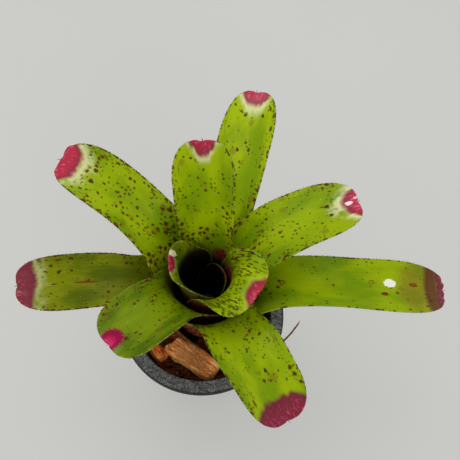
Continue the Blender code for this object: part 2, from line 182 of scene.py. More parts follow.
def ring_grid(points: Array, ends: Ends) -> Surface:
    """Faces for points in rows, where each row is a closed ring.

    Args:
        points: Rows by columns by 3; the columns go once round.
        ends: How the first and the last ring are closed.

    Returns:
        The closed surface, with its faces looking out.
    """
    rows, columns = points.shape[:2]
    index = np.arange(rows * columns).reshape(rows, columns)
    turned = np.roll(index, -1, axis=1)
    quads = np.stack([index[:-1], turned[:-1], turned[1:], index[1:]], axis=-1).reshape(-1, 4)
    flat = points.reshape(-1, 3)
    if ends is Ends.STRIPS:
        half = columns // 2
        k = np.arange(1, half - 1)
        triangles = np.zeros((0, 3), dtype=int)
        for ring, order in ((index[0], -1), (index[-1], 1)):
            strip = np.stack([ring[k], ring[k + 1], ring[columns - k - 1], ring[columns - k]], axis=-1)
            corners = ring[[[0, 1, columns - 1], [half, half + 1, half - 1]]]
            quads = np.concatenate([quads, strip[:, ::order]])
            triangles = np.concatenate([triangles, corners[:, ::order]])
    else:
        middles = np.stack([points[0].mean(axis=0), points[-1].mean(axis=0)])
        flat = np.concatenate([flat, middles])
        first, last = rows * columns, rows * columns + 1
        start = np.stack([index[0], np.full(columns, first), turned[0]], axis=-1)
        end = np.stack([index[-1], turned[-1], np.full(columns, last)], axis=-1)
        triangles = np.concatenate([start, end])
    return Surface(flat, quads, triangles).outward()


def strands(paths: Array, radii: Any, sides: int = 4) -> Surface:
    """Thin tubes along many paths at once.

    Each ring is a circle square to its path, turned by two vectors worked out from the path's
    direction and the vertical.

    Args:
        paths: Strands by points by 3.
        radii: Radius at each point, or values that spread over the strands and points.
        sides: Corners of each ring.

    Returns:
        All the tubes, each with both its ends closed.
    """
    count, steps = paths.shape[:2]
    forward = unit(np.gradient(paths, axis=1))
    aside = unit(np.cross(forward, np.array([0.13, 0.21, 1.0])))
    over = np.cross(aside, forward)
    turn = round_steps(sides)[:, None]
    ring = aside[:, :, None] * np.cos(turn) + over[:, :, None] * np.sin(turn)
    points = paths[:, :, None] + np.broadcast_to(radii, (count, steps))[:, :, None, None] * ring
    index = np.arange(count * steps * sides).reshape(count, steps, sides)
    turned = np.roll(index, -1, axis=2)
    quads = np.stack([index[:, :-1], index[:, 1:], turned[:, 1:], turned[:, :-1]], axis=-1).reshape(-1, 4)
    first, last = count * steps * sides + np.arange(2 * count).reshape(2, count, 1).repeat(sides, axis=2)
    start = np.stack([index[:, 0], turned[:, 0], first], axis=-1)
    end = np.stack([turned[:, -1], index[:, -1], last], axis=-1)
    flat = np.concatenate([points.reshape(-1, 3), paths[:, 0], paths[:, -1]])
    triangles = np.concatenate([start.reshape(-1, 3), end.reshape(-1, 3)])
    return Surface(flat, quads, triangles).outward()


def add_object(name: str, data: Any) -> bpy.types.Object:
    """A new object at the origin, linked to the scene."""
    item = bpy.data.objects.new(name, data)
    bpy.context.scene.collection.objects.link(item)
    return item


def make_piece(name: str, surface: Surface, material: bpy.types.Material) -> bpy.types.Object:
    """Turn a surface in metres into a smooth object at the origin, riding on the body."""
    mesh = bpy.data.meshes.new(name)
    mesh.vertices.add(len(surface.points))
    mesh.vertices.foreach_set("co", surface.points.astype(np.float32).ravel())
    corners = np.concatenate([surface.quads.ravel(), surface.triangles.ravel()]).astype(np.int32)
    split = len(surface.quads) * 4
    starts = np.concatenate([np.arange(0, split, 4), split + 3 * np.arange(len(surface.triangles))])
    mesh.loops.add(len(corners))
    mesh.loops.foreach_set("vertex_index", corners)
    mesh.polygons.add(len(starts))
    mesh.polygons.foreach_set("loop_start", starts.astype(np.int32))
    mesh.polygons.foreach_set("use_smooth", np.ones(len(starts), dtype=bool))
    for key, values in surface.values.items():
        layer = mesh.attributes.new(key, "FLOAT", "POINT")
        layer.data.foreach_set("value", values.astype(np.float32))
    mesh.update(calc_edges=True)
    mesh.validate()
    mesh.materials.append(material)
    piece = add_object(name, mesh)
    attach(piece, BODY)
    LOG.info("%s: %d points, %d faces", name, len(surface.points), len(starts))
    return piece


def stand_in(piece: bpy.types.Object, node: str) -> bpy.types.Object:
    """Let a piece stand for its CAD node, hiding that node."""
    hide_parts(node)
    return piece


# --- Material wiring --------------------------------------------------------------------
class Wiring:
    """Adds nodes to one tree; an input may be a number, a colour or another node's output."""

    def __init__(self, tree: bpy.types.NodeTree) -> None:
        """Keep the tree that nodes are added to."""
        self.tree = tree

    def add(self, kind: str, inputs: dict[Any, Any] | None = None, **settings: Any) -> bpy.types.Node:
        """Add a node, set its options and fill or link its inputs."""
        node = self.tree.nodes.new(kind)
        for key, value in settings.items():
            setattr(node, key, value)
        for key, value in (inputs or {}).items():
            if isinstance(value, bpy.types.NodeSocket):
                self.link(value, node.inputs[key])
            else:
                node.inputs[key].default_value = value
        return node

    def link(self, source: Socket, target: Socket) -> None:
        """Feed one socket from another."""
        self.tree.links.new(source, target)

    def maths(self, operation: str, *values: Any) -> Socket:
        """One Math node."""
        return self.add("ShaderNodeMath", dict(enumerate(values)), operation=operation).outputs[0]

    def plus(self, first: Any, second: Any) -> Socket:
        """The sum of two values."""
        return self.maths("ADD", first, second)

    def minus(self, first: Any, second: Any) -> Socket:
        """The first value less the second."""
        return self.maths("SUBTRACT", first, second)

    def below(self, first: Any, second: Any) -> Socket:
        """1 where the first value is the smaller, otherwise 0."""
        return self.maths("LESS_THAN", first, second)

    def scaled(self, value: Any, gain: Any, shift: Any = 0.0) -> Socket:
        """A value times a gain plus a shift."""
        return self.maths("MULTIPLY_ADD", value, gain, shift)

    def product(self, *values: Any) -> Socket:
        """Several values multiplied together."""
        total = values[0]
        for value in values[1:]:
            total = self.maths("MULTIPLY", total, value)
        return total

    def step(self, value: Any, low: Any, high: Any) -> Socket:
        """Smooth step from 0 at low to 1 at high; low may be the greater."""
        inputs = {"Value": value, "From Min": low, "From Max": high, "To Min": 0.0, "To Max": 1.0}
        return self.add("ShaderNodeMapRange", inputs, interpolation_type="SMOOTHSTEP").outputs[0]

    def blend(self, share: Any, first: Any, second: Any) -> Socket:
        """Mix two colours by a share."""
        return self.add("ShaderNodeMix", {0: share, 6: first, 7: second}, data_type="RGBA").outputs[2]

    def vector(self, x: Any, y: Any, z: Any = 0.0) -> Socket:
        """Three values as one vector."""
        return self.add("ShaderNodeCombineXYZ", {0: x, 1: y, 2: z}).outputs[0]

    def moved(self, place: Socket, way: Socket) -> Socket:
        """The sum of two vectors."""
        return self.add("ShaderNodeVectorMath", {0: place, 1: way}, operation="ADD").outputs[0]

    def noise(self, place: Any, detail: float = 2.0, roughness: float = 0.5, scale: float = 1.0) -> Socket:
        """Noise from 0 to 1, centred on about 0.5."""
        inputs = {"Vector": place, "Scale": scale, "Detail": detail, "Roughness": roughness}
        return self.add("ShaderNodeTexNoise", inputs).outputs["Fac"]

    def cells(self, place: Any) -> tuple[Socket, Socket, Socket, Socket]:
        """Scattered cells: distance to the nearest middle, and three random values of that cell."""
        node = self.add("ShaderNodeTexVoronoi", {"Vector": place, "Scale": 1.0}, voronoi_dimensions="2D")
        split = self.add("ShaderNodeSeparateColor", {0: node.outputs["Color"]})
        return node.outputs["Distance"], split.outputs[0], split.outputs[1], split.outputs[2]

    def value(self, name: str) -> Socket:
        """A value that the mesh carries at each point."""
        return self.add("ShaderNodeAttribute", attribute_name=name).outputs["Fac"]

    def place(self) -> Socket:
        """Where a point lies on its object, in metres."""
        return self.add("ShaderNodeTexCoord").outputs["Object"]

    def bump(self, height: Socket, shader: bpy.types.Node, relief: dict[str, float]) -> None:
        """Let a height shade the surface, with a strength and a distance in metres."""
        node = self.add("ShaderNodeBump", {"Height": height, **relief})
        self.link(node.outputs["Normal"], shader.inputs["Normal"])


def new_group(name: str, numbers: Names, colours: Names,
              outputs: dict[str, str]) -> tuple[bpy.types.NodeTree, Wiring, bpy.types.Node, bpy.types.Node]:
    """Start a shader node group.

    Args:
        name: Its name.
        numbers: Names of its inputs that take a number.
        colours: Names of its inputs that take a colour.
        outputs: Each output's name and socket type.

    Returns:
        The group, its wiring, and the nodes for its inputs and its outputs.
    """
    group = bpy.data.node_groups.new(name, "ShaderNodeTree")
    for keys, kind in ((numbers, NUMBER), (colours, COLOUR)):
        for key in keys:
            group.interface.new_socket(key, in_out="INPUT", socket_type=kind)
    for key, kind in outputs.items():
        group.interface.new_socket(key, in_out="OUTPUT", socket_type=kind)
    wiring = Wiring(group)
    return group, wiring, wiring.add("NodeGroupInput"), wiring.add("NodeGroupOutput")


def new_material(name: str, roughness: float, specular: float) -> tuple[bpy.types.Material, Wiring, Any]:
    """An empty Principled material, its wiring and its shader."""
    material = bpy.data.materials.new(name)
    material.use_nodes = True
    shader = material.node_tree.nodes["Principled BSDF"]
    shader.inputs["Roughness"].default_value = roughness
    shader.inputs["Specular IOR Level"].default_value = specular
    return material, Wiring(material.node_tree), shader


# --- Leaf finish ------------------------------------------------------------------------
class TipTone(Enum):
    """Colour of a leaf's tip: its main tone, and the paler tone that mottles it and is crowded towards the
    end as painted highlight.
    """

    CRIMSON = ((178, 4, 58), (232, 96, 140))
    WINE = ((124, 8, 48), (224, 84, 140))
    DUSTY = ((124, 30, 52), (206, 84, 112))


class GreenTone(Enum):
    """Ground colour of a blade: its lighter tone and its deeper tone."""

    FRESH = ((150, 172, 0), (112, 142, 0))
    BRIGHT = ((162, 184, 0), (122, 152, 0))
    OLIVE = ((122, 130, 0), (80, 94, 0))
    SHADED = ((116, 138, 0), (72, 98, 0))


class LeafTone(tuple, Enum):
    """Colours that every leaf shares."""

    VEIN = linear(176, 190, 20)
    CREAM = linear(226, 226, 168)
    HALO = linear(118, 78, 14)
    FAINT_SPOT = linear(56, 68, 2)
    BROWN_SPOT = linear(84, 38, 8)
    DARK_SPOT = linear(72, 22, 8)
    LIGHT_SPOT = linear(96, 40, 8)
    STREAK = linear(84, 26, 18)
    DASH = linear(58, 30, 8)
    # pale of the raised scales: partly their own colour, partly painted glint
    SCALE = linear(208, 220, 96)
    FLUSH = linear(104, 18, 34)
    # painted shade down inside the tank: dark, then near black
    THROAT_SHADE = linear(40, 14, 14)
    TANK_SHADE = linear(6, 8, 5)
    TIP_BORDER = linear(92, 8, 36)
    PALE_RIM = linear(190, 184, 92)
    MARGIN = linear(70, 24, 14)
    SCURF = linear(128, 136, 84)
    SHEATH_DARK = linear(44, 16, 7)
    SHEATH_LIGHT = linear(142, 64, 30)


@dataclass(frozen=True)
class Weave:
    """A noise laid over a leaf, by how fast it changes across and along the leaf, per mm."""

    across: float
    along: float
    detail: float = 2.0
    roughness: float = 0.5
    shift: float = 0.0         # sets it apart from the leaf's other noises


@dataclass(frozen=True)
class Mark:
    """One mark on a blade, whether a blemish or a painted highlight: an ellipse about a place on it; lengths
    in mm.
    """

    across: float
    tip: float                 # distance of its middle from the leaf's tip
    wide: float                # half its size across the leaf
    long: float                # half its size along the leaf
    colour: tuple[int, int, int]
    hollow: bool = False       # only its outline shows
    ragged: float = 0.3
    soft: float = 0.14         # share of its size over which it fades out
    strength: float = 1.0


@dataclass(frozen=True)
class LeafFinish:
    """How one leaf is marked; lengths in mm."""

    seed: float
    green: GreenTone
    tone: TipTone
    tip_depth: float           # of the coloured tip
    patch: float               # half its width, from the midrib; more than the leaf's covers all
    cream: float               # strength of the pale zone behind the tip
    cream_depth: float
    spots: float               # share of cells that carry a spot
    spot_size: float
    streaks: float             # strength of the long marks beside the margins
    blush: float               # strength of the dark flush at the throat
    dashes: float              # share of the margin that is dark
    streak_zone: float = 8.0   # how far in from the margins the long marks reach
    # below that height the upper face is painted dark as shade in the tank
    painted_shade_from: float = 2.0     # height on the blade below which its upper face turns dark
    pale_rim: float = 0.5      # strength of the dotted pale line along the margins
    speckle: float = 0.0       # share of fine dark dashes all over the upper face
    marks: tuple[Mark, ...] = ()


class LeafSkin:
    """The pattern that every leaf shares, as one node group.

    Places on the leaf come from the mesh, amounts and tones from each leaf's own finish.
    """

    PLACES = ("across", "tip", "edge", "rise", "under")
    AMOUNTS = ("seed", "tip_depth", "patch", "cream", "cream_depth", "spots", "spot_size", "streaks", "blush",
               "dashes", "streak_zone", "painted_shade_from", "pale_rim", "speckle")
    TONES = ("light_green", "deep_green", "tip_tone", "tip_mottle_and_highlight")

    BROAD = Weave(0.07, 0.028, 3.0)
    VEINS = Weave(1.9, 0.03)
    STREAKY = Weave(0.55, 0.10, 3.0)
    LOBES = Weave(0.16, 0.12, shift=4.0)
    GATHERED = Weave(0.11, 0.06, 1.0, shift=9.0)
    RAGGED = Weave(1.0, 0.5)
    FLUSHED = Weave(0.13, 0.10, shift=17.0)
    MOTTLED = Weave(0.8, 0.34, 3.0, 0.6)
    BANDED = Weave(0.05, 0.32, 3.0)
    THREADED = Weave(0.9, 0.14, 4.0, 0.7)
    GRAINED = Weave(1.1, 0.14, 4.0)
    LINED = Weave(2.4, 0.04)

    # cells that may carry a spot: width and length in mm, and a shift that sets the layers apart
    LARGE = (3.6, 4.6, 3.0)
    SMALL = (2.1, 2.7, 11.0)
    HALO = (6.5, 9.0, 23.0)

    ROUGHNESS = 0.4
    SPECULAR = 0.07
    COAT_ROUGHNESS = 0.12
    RELIEF = {"Strength": 0.35, "Distance": 0.0003}

    def __init__(self) -> None:
        """Build the group once."""
        outputs = {"Colour": COLOUR, "Roughness": NUMBER, "Height": NUMBER, "Gloss": NUMBER}
        self.group, self.wiring, given, result = new_group(
            "leaf_skin", self.PLACES + self.AMOUNTS, self.TONES, outputs)
        self.take = given.outputs
        for key, value in self.layers().items():
            self.wiring.link(value, result.inputs[key])

    def woven(self, weave: Weave, along: Socket | None = None) -> Socket:
        """A noise over the leaf, along it from the tip unless another measure is given."""
        w, take = self.wiring, self.take
        along = take["tip"] if along is None else along
        place = w.vector(w.scaled(take["across"], weave.across), w.scaled(along, weave.along),
                         w.scaled(take["seed"], 1.0, weave.shift))
        return w.noise(place, weave.detail, weave.roughness)

    def layers(self) -> dict[str, Socket]:
        """Lay the layers over one another, from the ground to the margin.

        Returns:
            What the group gives: colour, roughness, height and gloss.
        """
        w, take = self.wiring, self.take
        streaky, lobes = self.woven(self.STREAKY), self.woven(self.LOBES)
        depth, cream = self.pale_zone(streaky, lobes)
        colour = w.blend(cream, self.ground(), LeafTone.CREAM)
        clear = w.step(take["tip"], w.scaled(depth, 1.0, 1.0), w.scaled(depth, 1.0, 8.0))
        low = w.step(take["rise"], 55.0, 4.0)
        colour, large = self.spotted(colour, clear, low)
        colour = self.streaked(colour, clear, low)
        colour, scale = self.scaly(colour)
        colour, body = self.tipped(self.flushed(colour), streaky, depth)
        colour = self.edged(colour, w.minus(1.0, body))
        grain = self.woven(self.GRAINED)
        height = w.plus(w.scaled(self.woven(self.LINED), 0.5), w.scaled(grain, 0.5))
        height = w.plus(height, w.scaled(scale, 0.8))
        return {
            "Colour": self.dulled(colour),
            "Roughness": w.plus(w.scaled(grain, 0.16, 0.34), w.scaled(take["under"], 0.2)),
            "Height": w.minus(height, w.scaled(large, 0.25)),
            "Gloss": w.maths("MAXIMUM", w.scaled(body, 0.3), w.product(scale, 0.8)),
        }

    def ground(self) -> Socket:
        """Green with deeper patches and fine lengthwise veins."""
        w, take = self.wiring, self.take
        green = w.blend(w.step(self.woven(self.BROAD), 0.36, 0.66), take["light_green"], take["deep_green"])
        veins = self.woven(self.VEINS)
        green = w.blend(w.scaled(w.step(veins, 0.52, 0.75), 0.22), green, take["deep_green"])
        return w.blend(w.scaled(w.step(veins, 0.46, 0.25), 0.12), green, LeafTone.VEIN)

    def pale_zone(self, streaky: Socket, lobes: Socket) -> tuple[Socket, Socket]:
        """Depth of the coloured tip, and the mask of the pale zone behind it, drawn out into streaks."""
        w, take = self.wiring, self.take
        patch = take["patch"]
        aside = w.plus(w.maths("ABSOLUTE", take["across"]), w.scaled(w.plus(streaky, lobes), 5.0, -5.0))
        within = w.step(aside, w.scaled(patch, 1.35), w.scaled(patch, 0.35))
        depth = w.scaled(w.product(take["tip_depth"], within), w.scaled(lobes, 0.6, 0.7), -1.5)
        far = w.plus(depth, w.product(take["cream_depth"], w.scaled(streaky, 1.0, 0.6)))
        cream = w.step(take["tip"], far, w.plus(depth, w.scaled(take["cream_depth"], 0.1)))
        beside = w.step(aside, w.scaled(patch, 1.9), patch)
        return depth, w.product(cream, take["cream"], w.step(lobes, 0.24, 0.52), beside)

    def spots(self, cells: tuple[float, ...], density: Socket, size: Socket) -> tuple[Socket, Socket]:
        """Scattered ragged spots.

        Args:
            cells: Width and length of the cells, and the layer's shift.
            density: Share of the cells that carry a spot.
            size: Largest radius of a spot as a share of its cell.

        Returns:
            The mask of the spots, and one random value for each.
        """
        w, take = self.wiring, self.take
        wide, long, shift = cells
        place = w.vector(w.scaled(take["across"], 1.0 / wide, shift),
                         w.scaled(take["tip"], 1.0 / long, take["seed"]))
        stir = w.noise(place, 1.0, scale=1.7)
        place = w.moved(place, w.vector(w.scaled(stir, 0.3), w.scaled(stir, 0.6)))
        distance, chance, radius, tint = w.cells(place)
        far = w.plus(distance, w.scaled(w.noise(place, scale=4.0), 0.16, -0.08))
        reach = w.product(size, w.scaled(w.maths("POWER", radius, 1.8), 0.28, 0.15))
        inside = w.step(far, w.product(reach, 1.1), w.product(reach, 0.5))
        return w.product(inside, w.below(chance, density)), tint

    def spotted(self, colour: Socket, clear: Socket, low: Socket) -> tuple[Socket, Socket]:
        """Spots: large and dark, small and faint, and brown halos under them."""
        w, take = self.wiring, self.take
        gather = w.scaled(w.step(self.woven(self.GATHERED), 0.42, 0.62), 1.5, 0.25)
        beside = w.step(take["edge"], 8.0, 0.5)
        density = w.product(take["spots"], gather, w.scaled(low, 1.0, w.scaled(beside, 0.7, 0.62)))
        size = take["spot_size"]
        large, tint = self.spots(self.LARGE, density, size)
        small, faint = self.spots(self.SMALL, w.scaled(density, 1.1, 0.02), w.scaled(size, 0.95))
        halo, _ = self.spots(self.HALO, w.scaled(density, 0.55), size)
        colour = w.blend(w.product(halo, clear, 0.42), colour, LeafTone.HALO)
        small_tone = w.blend(w.step(faint, 0.35, 0.65), LeafTone.FAINT_SPOT, LeafTone.BROWN_SPOT)
        colour = w.blend(w.product(small, clear, 0.85), colour, small_tone)
        large_tone = w.blend(tint, LeafTone.DARK_SPOT, LeafTone.LIGHT_SPOT)
        return w.blend(w.product(large, clear, 0.95), colour, large_tone), large

    def streaked(self, colour: Socket, clear: Socket, low: Socket) -> Socket:
        """Long dark marks beside the margins, and fine dashes crowded round the tank."""
        w, take = self.wiring, self.take
        across, tip, seed, zone = take["across"], take["tip"], take["seed"], take["streak_zone"]
        distance, chance, _, _ = w.cells(w.vector(w.scaled(across, 0.85), w.scaled(tip, 0.075, seed)))
        ragged = w.scaled(self.woven(self.RAGGED), 0.5, -0.25)
        line = w.step(w.plus(distance, ragged), 0.36, 0.14)
        strip = w.step(take["edge"], zone, w.scaled(zone, 0.2))
        strip = w.product(strip, w.scaled(low, 0.75, 0.25))
        near = w.maths("MAXIMUM", strip, w.step(take["rise"], 16.0, -4.0))
        line = w.product(line, w.below(chance, w.scaled(near, 0.95)), take["streaks"], clear)
        colour = w.blend(line, colour, LeafTone.STREAK)

        place = w.vector(w.scaled(across, 0.85, 5.0), w.scaled(tip, 0.27, seed))
        distance, chance, _, _ = w.cells(w.moved(place, w.vector(w.scaled(ragged, 0.5), 0.0)))
        fine = w.product(w.step(distance, 0.44, 0.24), w.below(chance, take["speckle"]), clear)
        return w.blend(w.product(fine, 0.92), colour, LeafTone.DASH)

    def scaly(self, colour: Socket) -> tuple[Socket, Socket]:
        """Tiny raised scales whose pale colour is partly their own and partly painted glint."""
        w, take = self.wiring, self.take
        place = w.vector(w.scaled(take["across"], 0.42, 31.0), w.scaled(take["tip"], 0.33, take["seed"]))
        far, chance, _, _ = w.cells(place)
        scale = w.product(w.step(far, 0.10, 0.04), w.below(chance, 0.07))
        return w.blend(w.product(scale, 0.6), colour, LeafTone.SCALE), scale

    def flushed(self, colour: Socket) -> Socket:
        """The flush round the throat, and shade painted over the upper face inside the tank, near black deep
        down.
        """
        w, take = self.wiring, self.take
        noise = self.woven(self.FLUSHED, take["rise"])
        flush = w.step(w.scaled(noise, 26.0, w.scaled(take["rise"], -1.0)), 4.0, 22.0)
        colour = w.blend(w.product(flush, take["blush"]), colour, LeafTone.FLUSH)
        # painted shade: the upper face darkens down inside the tank and goes near black deep in it
        inside = w.minus(1.0, take["under"])
        below = w.minus(take["rise"], take["painted_shade_from"])
        dim = w.product(w.step(below, 1.0, -15.0), inside)
        colour = w.blend(w.scaled(dim, 0.93), colour, LeafTone.THROAT_SHADE)
        deep = w.product(w.step(below, -9.0, -26.0), inside)
        return w.blend(w.scaled(deep, 0.92), colour, LeafTone.TANK_SHADE)

    def tipped(self, colour: Socket, streaky: Socket, depth: Socket) -> tuple[Socket, Socket]:
        """The coloured tip, darker along its border, mottled with a paler tone that crowds towards the end as
        painted highlight.
        """
        w, take = self.wiring, self.take
        tip = take["tip"]
        reach = w.plus(depth, w.scaled(streaky, 2.0, -1.0))
        body = w.step(tip, w.plus(reach, 2.4), w.minus(reach, 2.2))
        mottle = w.step(self.woven(self.MOTTLED), 0.52, 0.72)
        # the pale mottle crowds towards the end as painted highlight on the glossy tip
        shine = w.product(mottle, w.scaled(w.step(tip, 10.0, 1.5), 0.8, 0.2))
        tone = w.blend(shine, take["tip_tone"], take["tip_mottle_and_highlight"])
        border = w.product(w.step(w.minus(reach, tip), 7.0, 0.5), 0.6)
        tone = w.blend(border, tone, LeafTone.TIP_BORDER)
        return w.blend(w.scaled(body, 0.97), colour, tone), body

    def edged(self, colour: Socket, bare: Socket) -> Socket:
        """Dark dashes along the margin, with a thin pale rim between them."""
        w, take = self.wiring, self.take
        place = w.scaled(take["tip"], 0.30, take["seed"])
        run = w.noise(w.vector(place, w.maths("SIGN", take["across"]), take["seed"]))
        limit = w.scaled(take["dashes"], -0.36, 0.70)
        breadth = w.scaled(run, 2.6, -0.5)
        dash = w.product(w.step(run, limit, w.plus(limit, 0.05)),
                         w.step(take["edge"], breadth, w.scaled(breadth, 0.5)))
        dots = w.step(w.noise(w.vector(w.scaled(take["tip"], 0.8, take["seed"]), 0.0), 1.0), 0.46, 0.62)
        rim = w.product(w.step(take["edge"], 0.6, 0.25), w.scaled(dots, 0.5, 0.06), take["pale_rim"])
        colour = w.blend(w.product(rim, bare), colour, LeafTone.PALE_RIM)
        return w.blend(w.product(dash, bare, 0.85), colour, LeafTone.MARGIN)

    def dulled(self, colour: Socket) -> Socket:
        """The underside: duller, dusted with scurf in faint cross bands, fibrous on the sheath."""
        w, take = self.wiring, self.take
        scurf = w.scaled(w.step(self.woven(self.BANDED), 0.40, 0.72), 0.34, 0.12)
        dull = w.blend(scurf, colour, LeafTone.SCURF)
        fibrous = w.blend(w.step(self.woven(self.THREADED), 0.44, 0.60), LeafTone.SHEATH_DARK,
                          LeafTone.SHEATH_LIGHT)
        return w.blend(take["under"], colour, w.blend(w.step(take["rise"], 17.0, -1.0), dull, fibrous))

    @staticmethod
    def marked(w: Wiring, colour: Socket, mark: Mark) -> Socket:
        """Lay one mark, blemish or painted highlight, over a colour: an ellipse whose edge noise makes
        ragged.
        """
        along, across = w.value("tip"), w.value("across")
        off = w.maths("POWER", w.scaled(across, 1.0 / mark.wide, -mark.across / mark.wide), 2.0)
        out = w.maths("POWER", w.scaled(along, 1.0 / mark.long, -mark.tip / mark.long), 2.0)
        rough = w.noise(w.vector(w.scaled(across, 0.8), w.scaled(along, 0.8)))
        far = w.plus(w.maths("SQRT", w.plus(off, out)), w.scaled(rough, mark.ragged, -mark.ragged / 2.0))
        mask = w.step(far, 1.0, 1.0 - mark.soft)
        if mark.hollow:
            mask = w.product(mask, w.step(far, 0.45, 0.7))
        return w.blend(w.scaled(mask, mark.strength), colour, linear(*mark.colour))

    def dress(self, name: str, finish: LeafFinish) -> bpy.types.Material:
        """The material of one leaf, with its own amounts, tones and marks."""
        material, w, shader = new_material(f"{name}_skin", self.ROUGHNESS, self.SPECULAR)
        shader.inputs["Coat Roughness"].default_value = self.COAT_ROUGHNESS
        given = {key: w.value(key) for key in self.PLACES}
        given |= {key: getattr(finish, key) for key in self.AMOUNTS}
        tones = (*finish.green.value, *finish.tone.value)
        given |= {key: linear(*tone) for key, tone in zip(self.TONES, tones)}
        skin = w.add("ShaderNodeGroup", given, node_tree=self.group)
        colour = skin.outputs["Colour"]
        for mark in finish.marks:
            colour = self.marked(w, colour, mark)
        w.link(colour, shader.inputs["Base Color"])
        w.link(skin.outputs["Roughness"], shader.inputs["Roughness"])
        w.link(skin.outputs["Gloss"], shader.inputs["Coat Weight"])
        w.bump(skin.outputs["Height"], shader, self.RELIEF)
        return material


# --- Leaves -----------------------------------------------------------------------------
@dataclass(frozen=True)
class StrapLeaf:
    """One strap leaf; lengths in mm, heights above the pot's rim, angles in degrees.

    Level 0 is the innermost leaf of the tube. Each level further out has a wider sheath and a
    lower foot, so that the sheaths lie round one another like funnels.
    """

    name: str
    level: int
    azimuth: float
    throat: float              # height at which the sheath becomes the blade
    reach: float               # tip's distance from the plant's axis
    rise: float                # tip's height
    pitch: float               # slope of the blade at its tip
    width: float
    channel: float             # half angle of the blade's trough
    wrap: float                # half angle of the sheath's wrap round the axis
    finish: LeafFinish
    roll: float = 0.0          # turn of the blade about its midrib
    sweep: float = 0.0         # sideways drift of the tip
    neck: float = 0.86         # share of the width that the sheath has
    leave: float = 0.70        # share of the sheath where it starts to open
    open: float = 0.30         # share of the blade over which it goes on opening
    tip_channel: float = 22.0
    notch: float = 0.9         # depth of the dent in the tip
    spine: float = 2.6         # length of the point in that dent
    pleats: float = 0.5        # depth of the dried folds at the tip

    THICKNESS = 1.2
    SHEATH_STEP = 2.1
    HEART_RADIUS = 11.1
    FOOT_STEP = 4.0
    HEART_FOOT = 19.8
    FOOT_CLEARANCE = 1.02      # from the stem to the middle of a foot
    THROAT_PITCH = 84.0
    SHEATH_PULLS = (0.55, 0.12, 0.55)  # out at the foot, up at the foot and down at the throat
    BLADE_PULLS = (0.45, 0.35)         # at the throat and at the tip, as shares of the chord
    CURVE_POINTS = (60, 140)   # on the sheath and on the blade
    ROWS = 230
    CROWDING = 1.35            # how much closer the rows lie towards the tip
    ACROSS = 40                # steps from one margin to the other
    FULL_WIDTH_AT = 0.55       # share of the blade
    TIP_SHARE = 0.30
    TIP_END = 0.985
    TIP_TAPER = 2.2
    TIP_BLUNT = 3.0
    WAVE, WAVE_ACROSS, WAVE_ALONG = 0.38, 7.0, 16.0
    FOLD_ACROSS, FOLD_ALONG, FOLDS_FROM = 1.6, 9.0, 12.0
    DENT_WIDTH, DENT_LENGTH = 1.3, 4.0
    MARGIN_POWER = 14
    END_ROWS = 4.6             # over which the thickness eases down at the tip
    THINNED, THINNED_OVER = 0.35, 5.0
    TOOTH_PITCH, TOOTH_SWAY = 2.6, 0.6
    TOOTH_SIZE = (0.45, 0.85)
    TOOTH_SHARES, TOOTH_RADII = (0.0, 0.45, 1.0), (0.34, 0.22, 0.03)
    SPINE_RADIUS = 0.42

    def spine_curve(self, rim: float, stem: float) -> tuple[Array, Array]:
        """The midrib as radius and height: a funnel-shaped sheath, then an arching blade.

        Args:
            rim: Height of the pot's rim, in mm.
            stem: Radius of the stem, in mm.

        Returns:
            The curve of the sheath and the curve of the blade.
        """
        radius = self.HEART_RADIUS + self.level * self.SHEATH_STEP
        foot = np.array([stem + self.FOOT_CLEARANCE, rim + self.HEART_FOOT - self.level * self.FOOT_STEP])
        throat = np.array([radius, rim + self.throat])
        tip = np.array([self.reach, rim + self.rise])
        height = throat[1] - foot[1]
        leaving, ending = math.radians(self.THROAT_PITCH), math.radians(self.pitch)
        upward = np.array([math.cos(leaving), math.sin(leaving)])
        onward = np.array([math.cos(ending), math.sin(ending)])
        chord = np.linalg.norm(tip - throat)
        out, up, down = self.SHEATH_PULLS
        first, last = self.BLADE_PULLS
        spread = np.array([out * (radius - foot[0]), up * height])
        sheath = [foot, foot + spread, throat - down * height * upward, throat]
        blade = [throat, throat + first * chord * upward, tip - last * chord * onward, tip]
        return bezier(sheath, self.CURVE_POINTS[0]), bezier(blade, self.CURVE_POINTS[1])

    def middle(self, rim: float, stem: float, axis: float) -> tuple[Array, dict[str, Array]]:
        """Middle surface of the leaf, rows along it and columns across it, in mm.

        Every row is an arc about the midrib. In the sheath the arc is level and lies on the
        sheath's own circle round the axis; along the blade it is a shallow trough square to the
        midrib. Radius, half angle and directions ease from one to the other round the throat,
        and the width rounds off over the last part of the blade.

        Args:
            rim: Height of the pot's rim.
            stem: Radius of the stem.
            axis: How far the plant stands to the right of the pot's axis.

        Returns:
            The points, and the place of each on the leaf.
        """
        sheath, blade = self.spine_curve(rim, stem)
        sheath_at, blade_at = distance_along(sheath), distance_along(blade)
        sheath_length, blade_length = sheath_at[-1], blade_at[-1]
        line = np.concatenate([sheath, blade[1:]])
        line_at = np.concatenate([sheath_at, sheath_length + blade_at[1:]])
        total = line_at[-1]
        at = total * (1.0 - (1.0 - np.linspace(0.0, 1.0, self.ROWS)) ** self.CROWDING)
        radius, height = np.interp(at, line_at, line[:, 0]), np.interp(at, line_at, line[:, 1])
        slope = unit(np.stack([np.gradient(radius, at), np.gradient(height, at)], axis=-1))
        along = np.clip((at - sheath_length) / blade_length, 0.0, 1.0)
        opened = ease((at - sheath_length * self.leave)
                      / (blade_length * self.open + sheath_length * (1.0 - self.leave)))

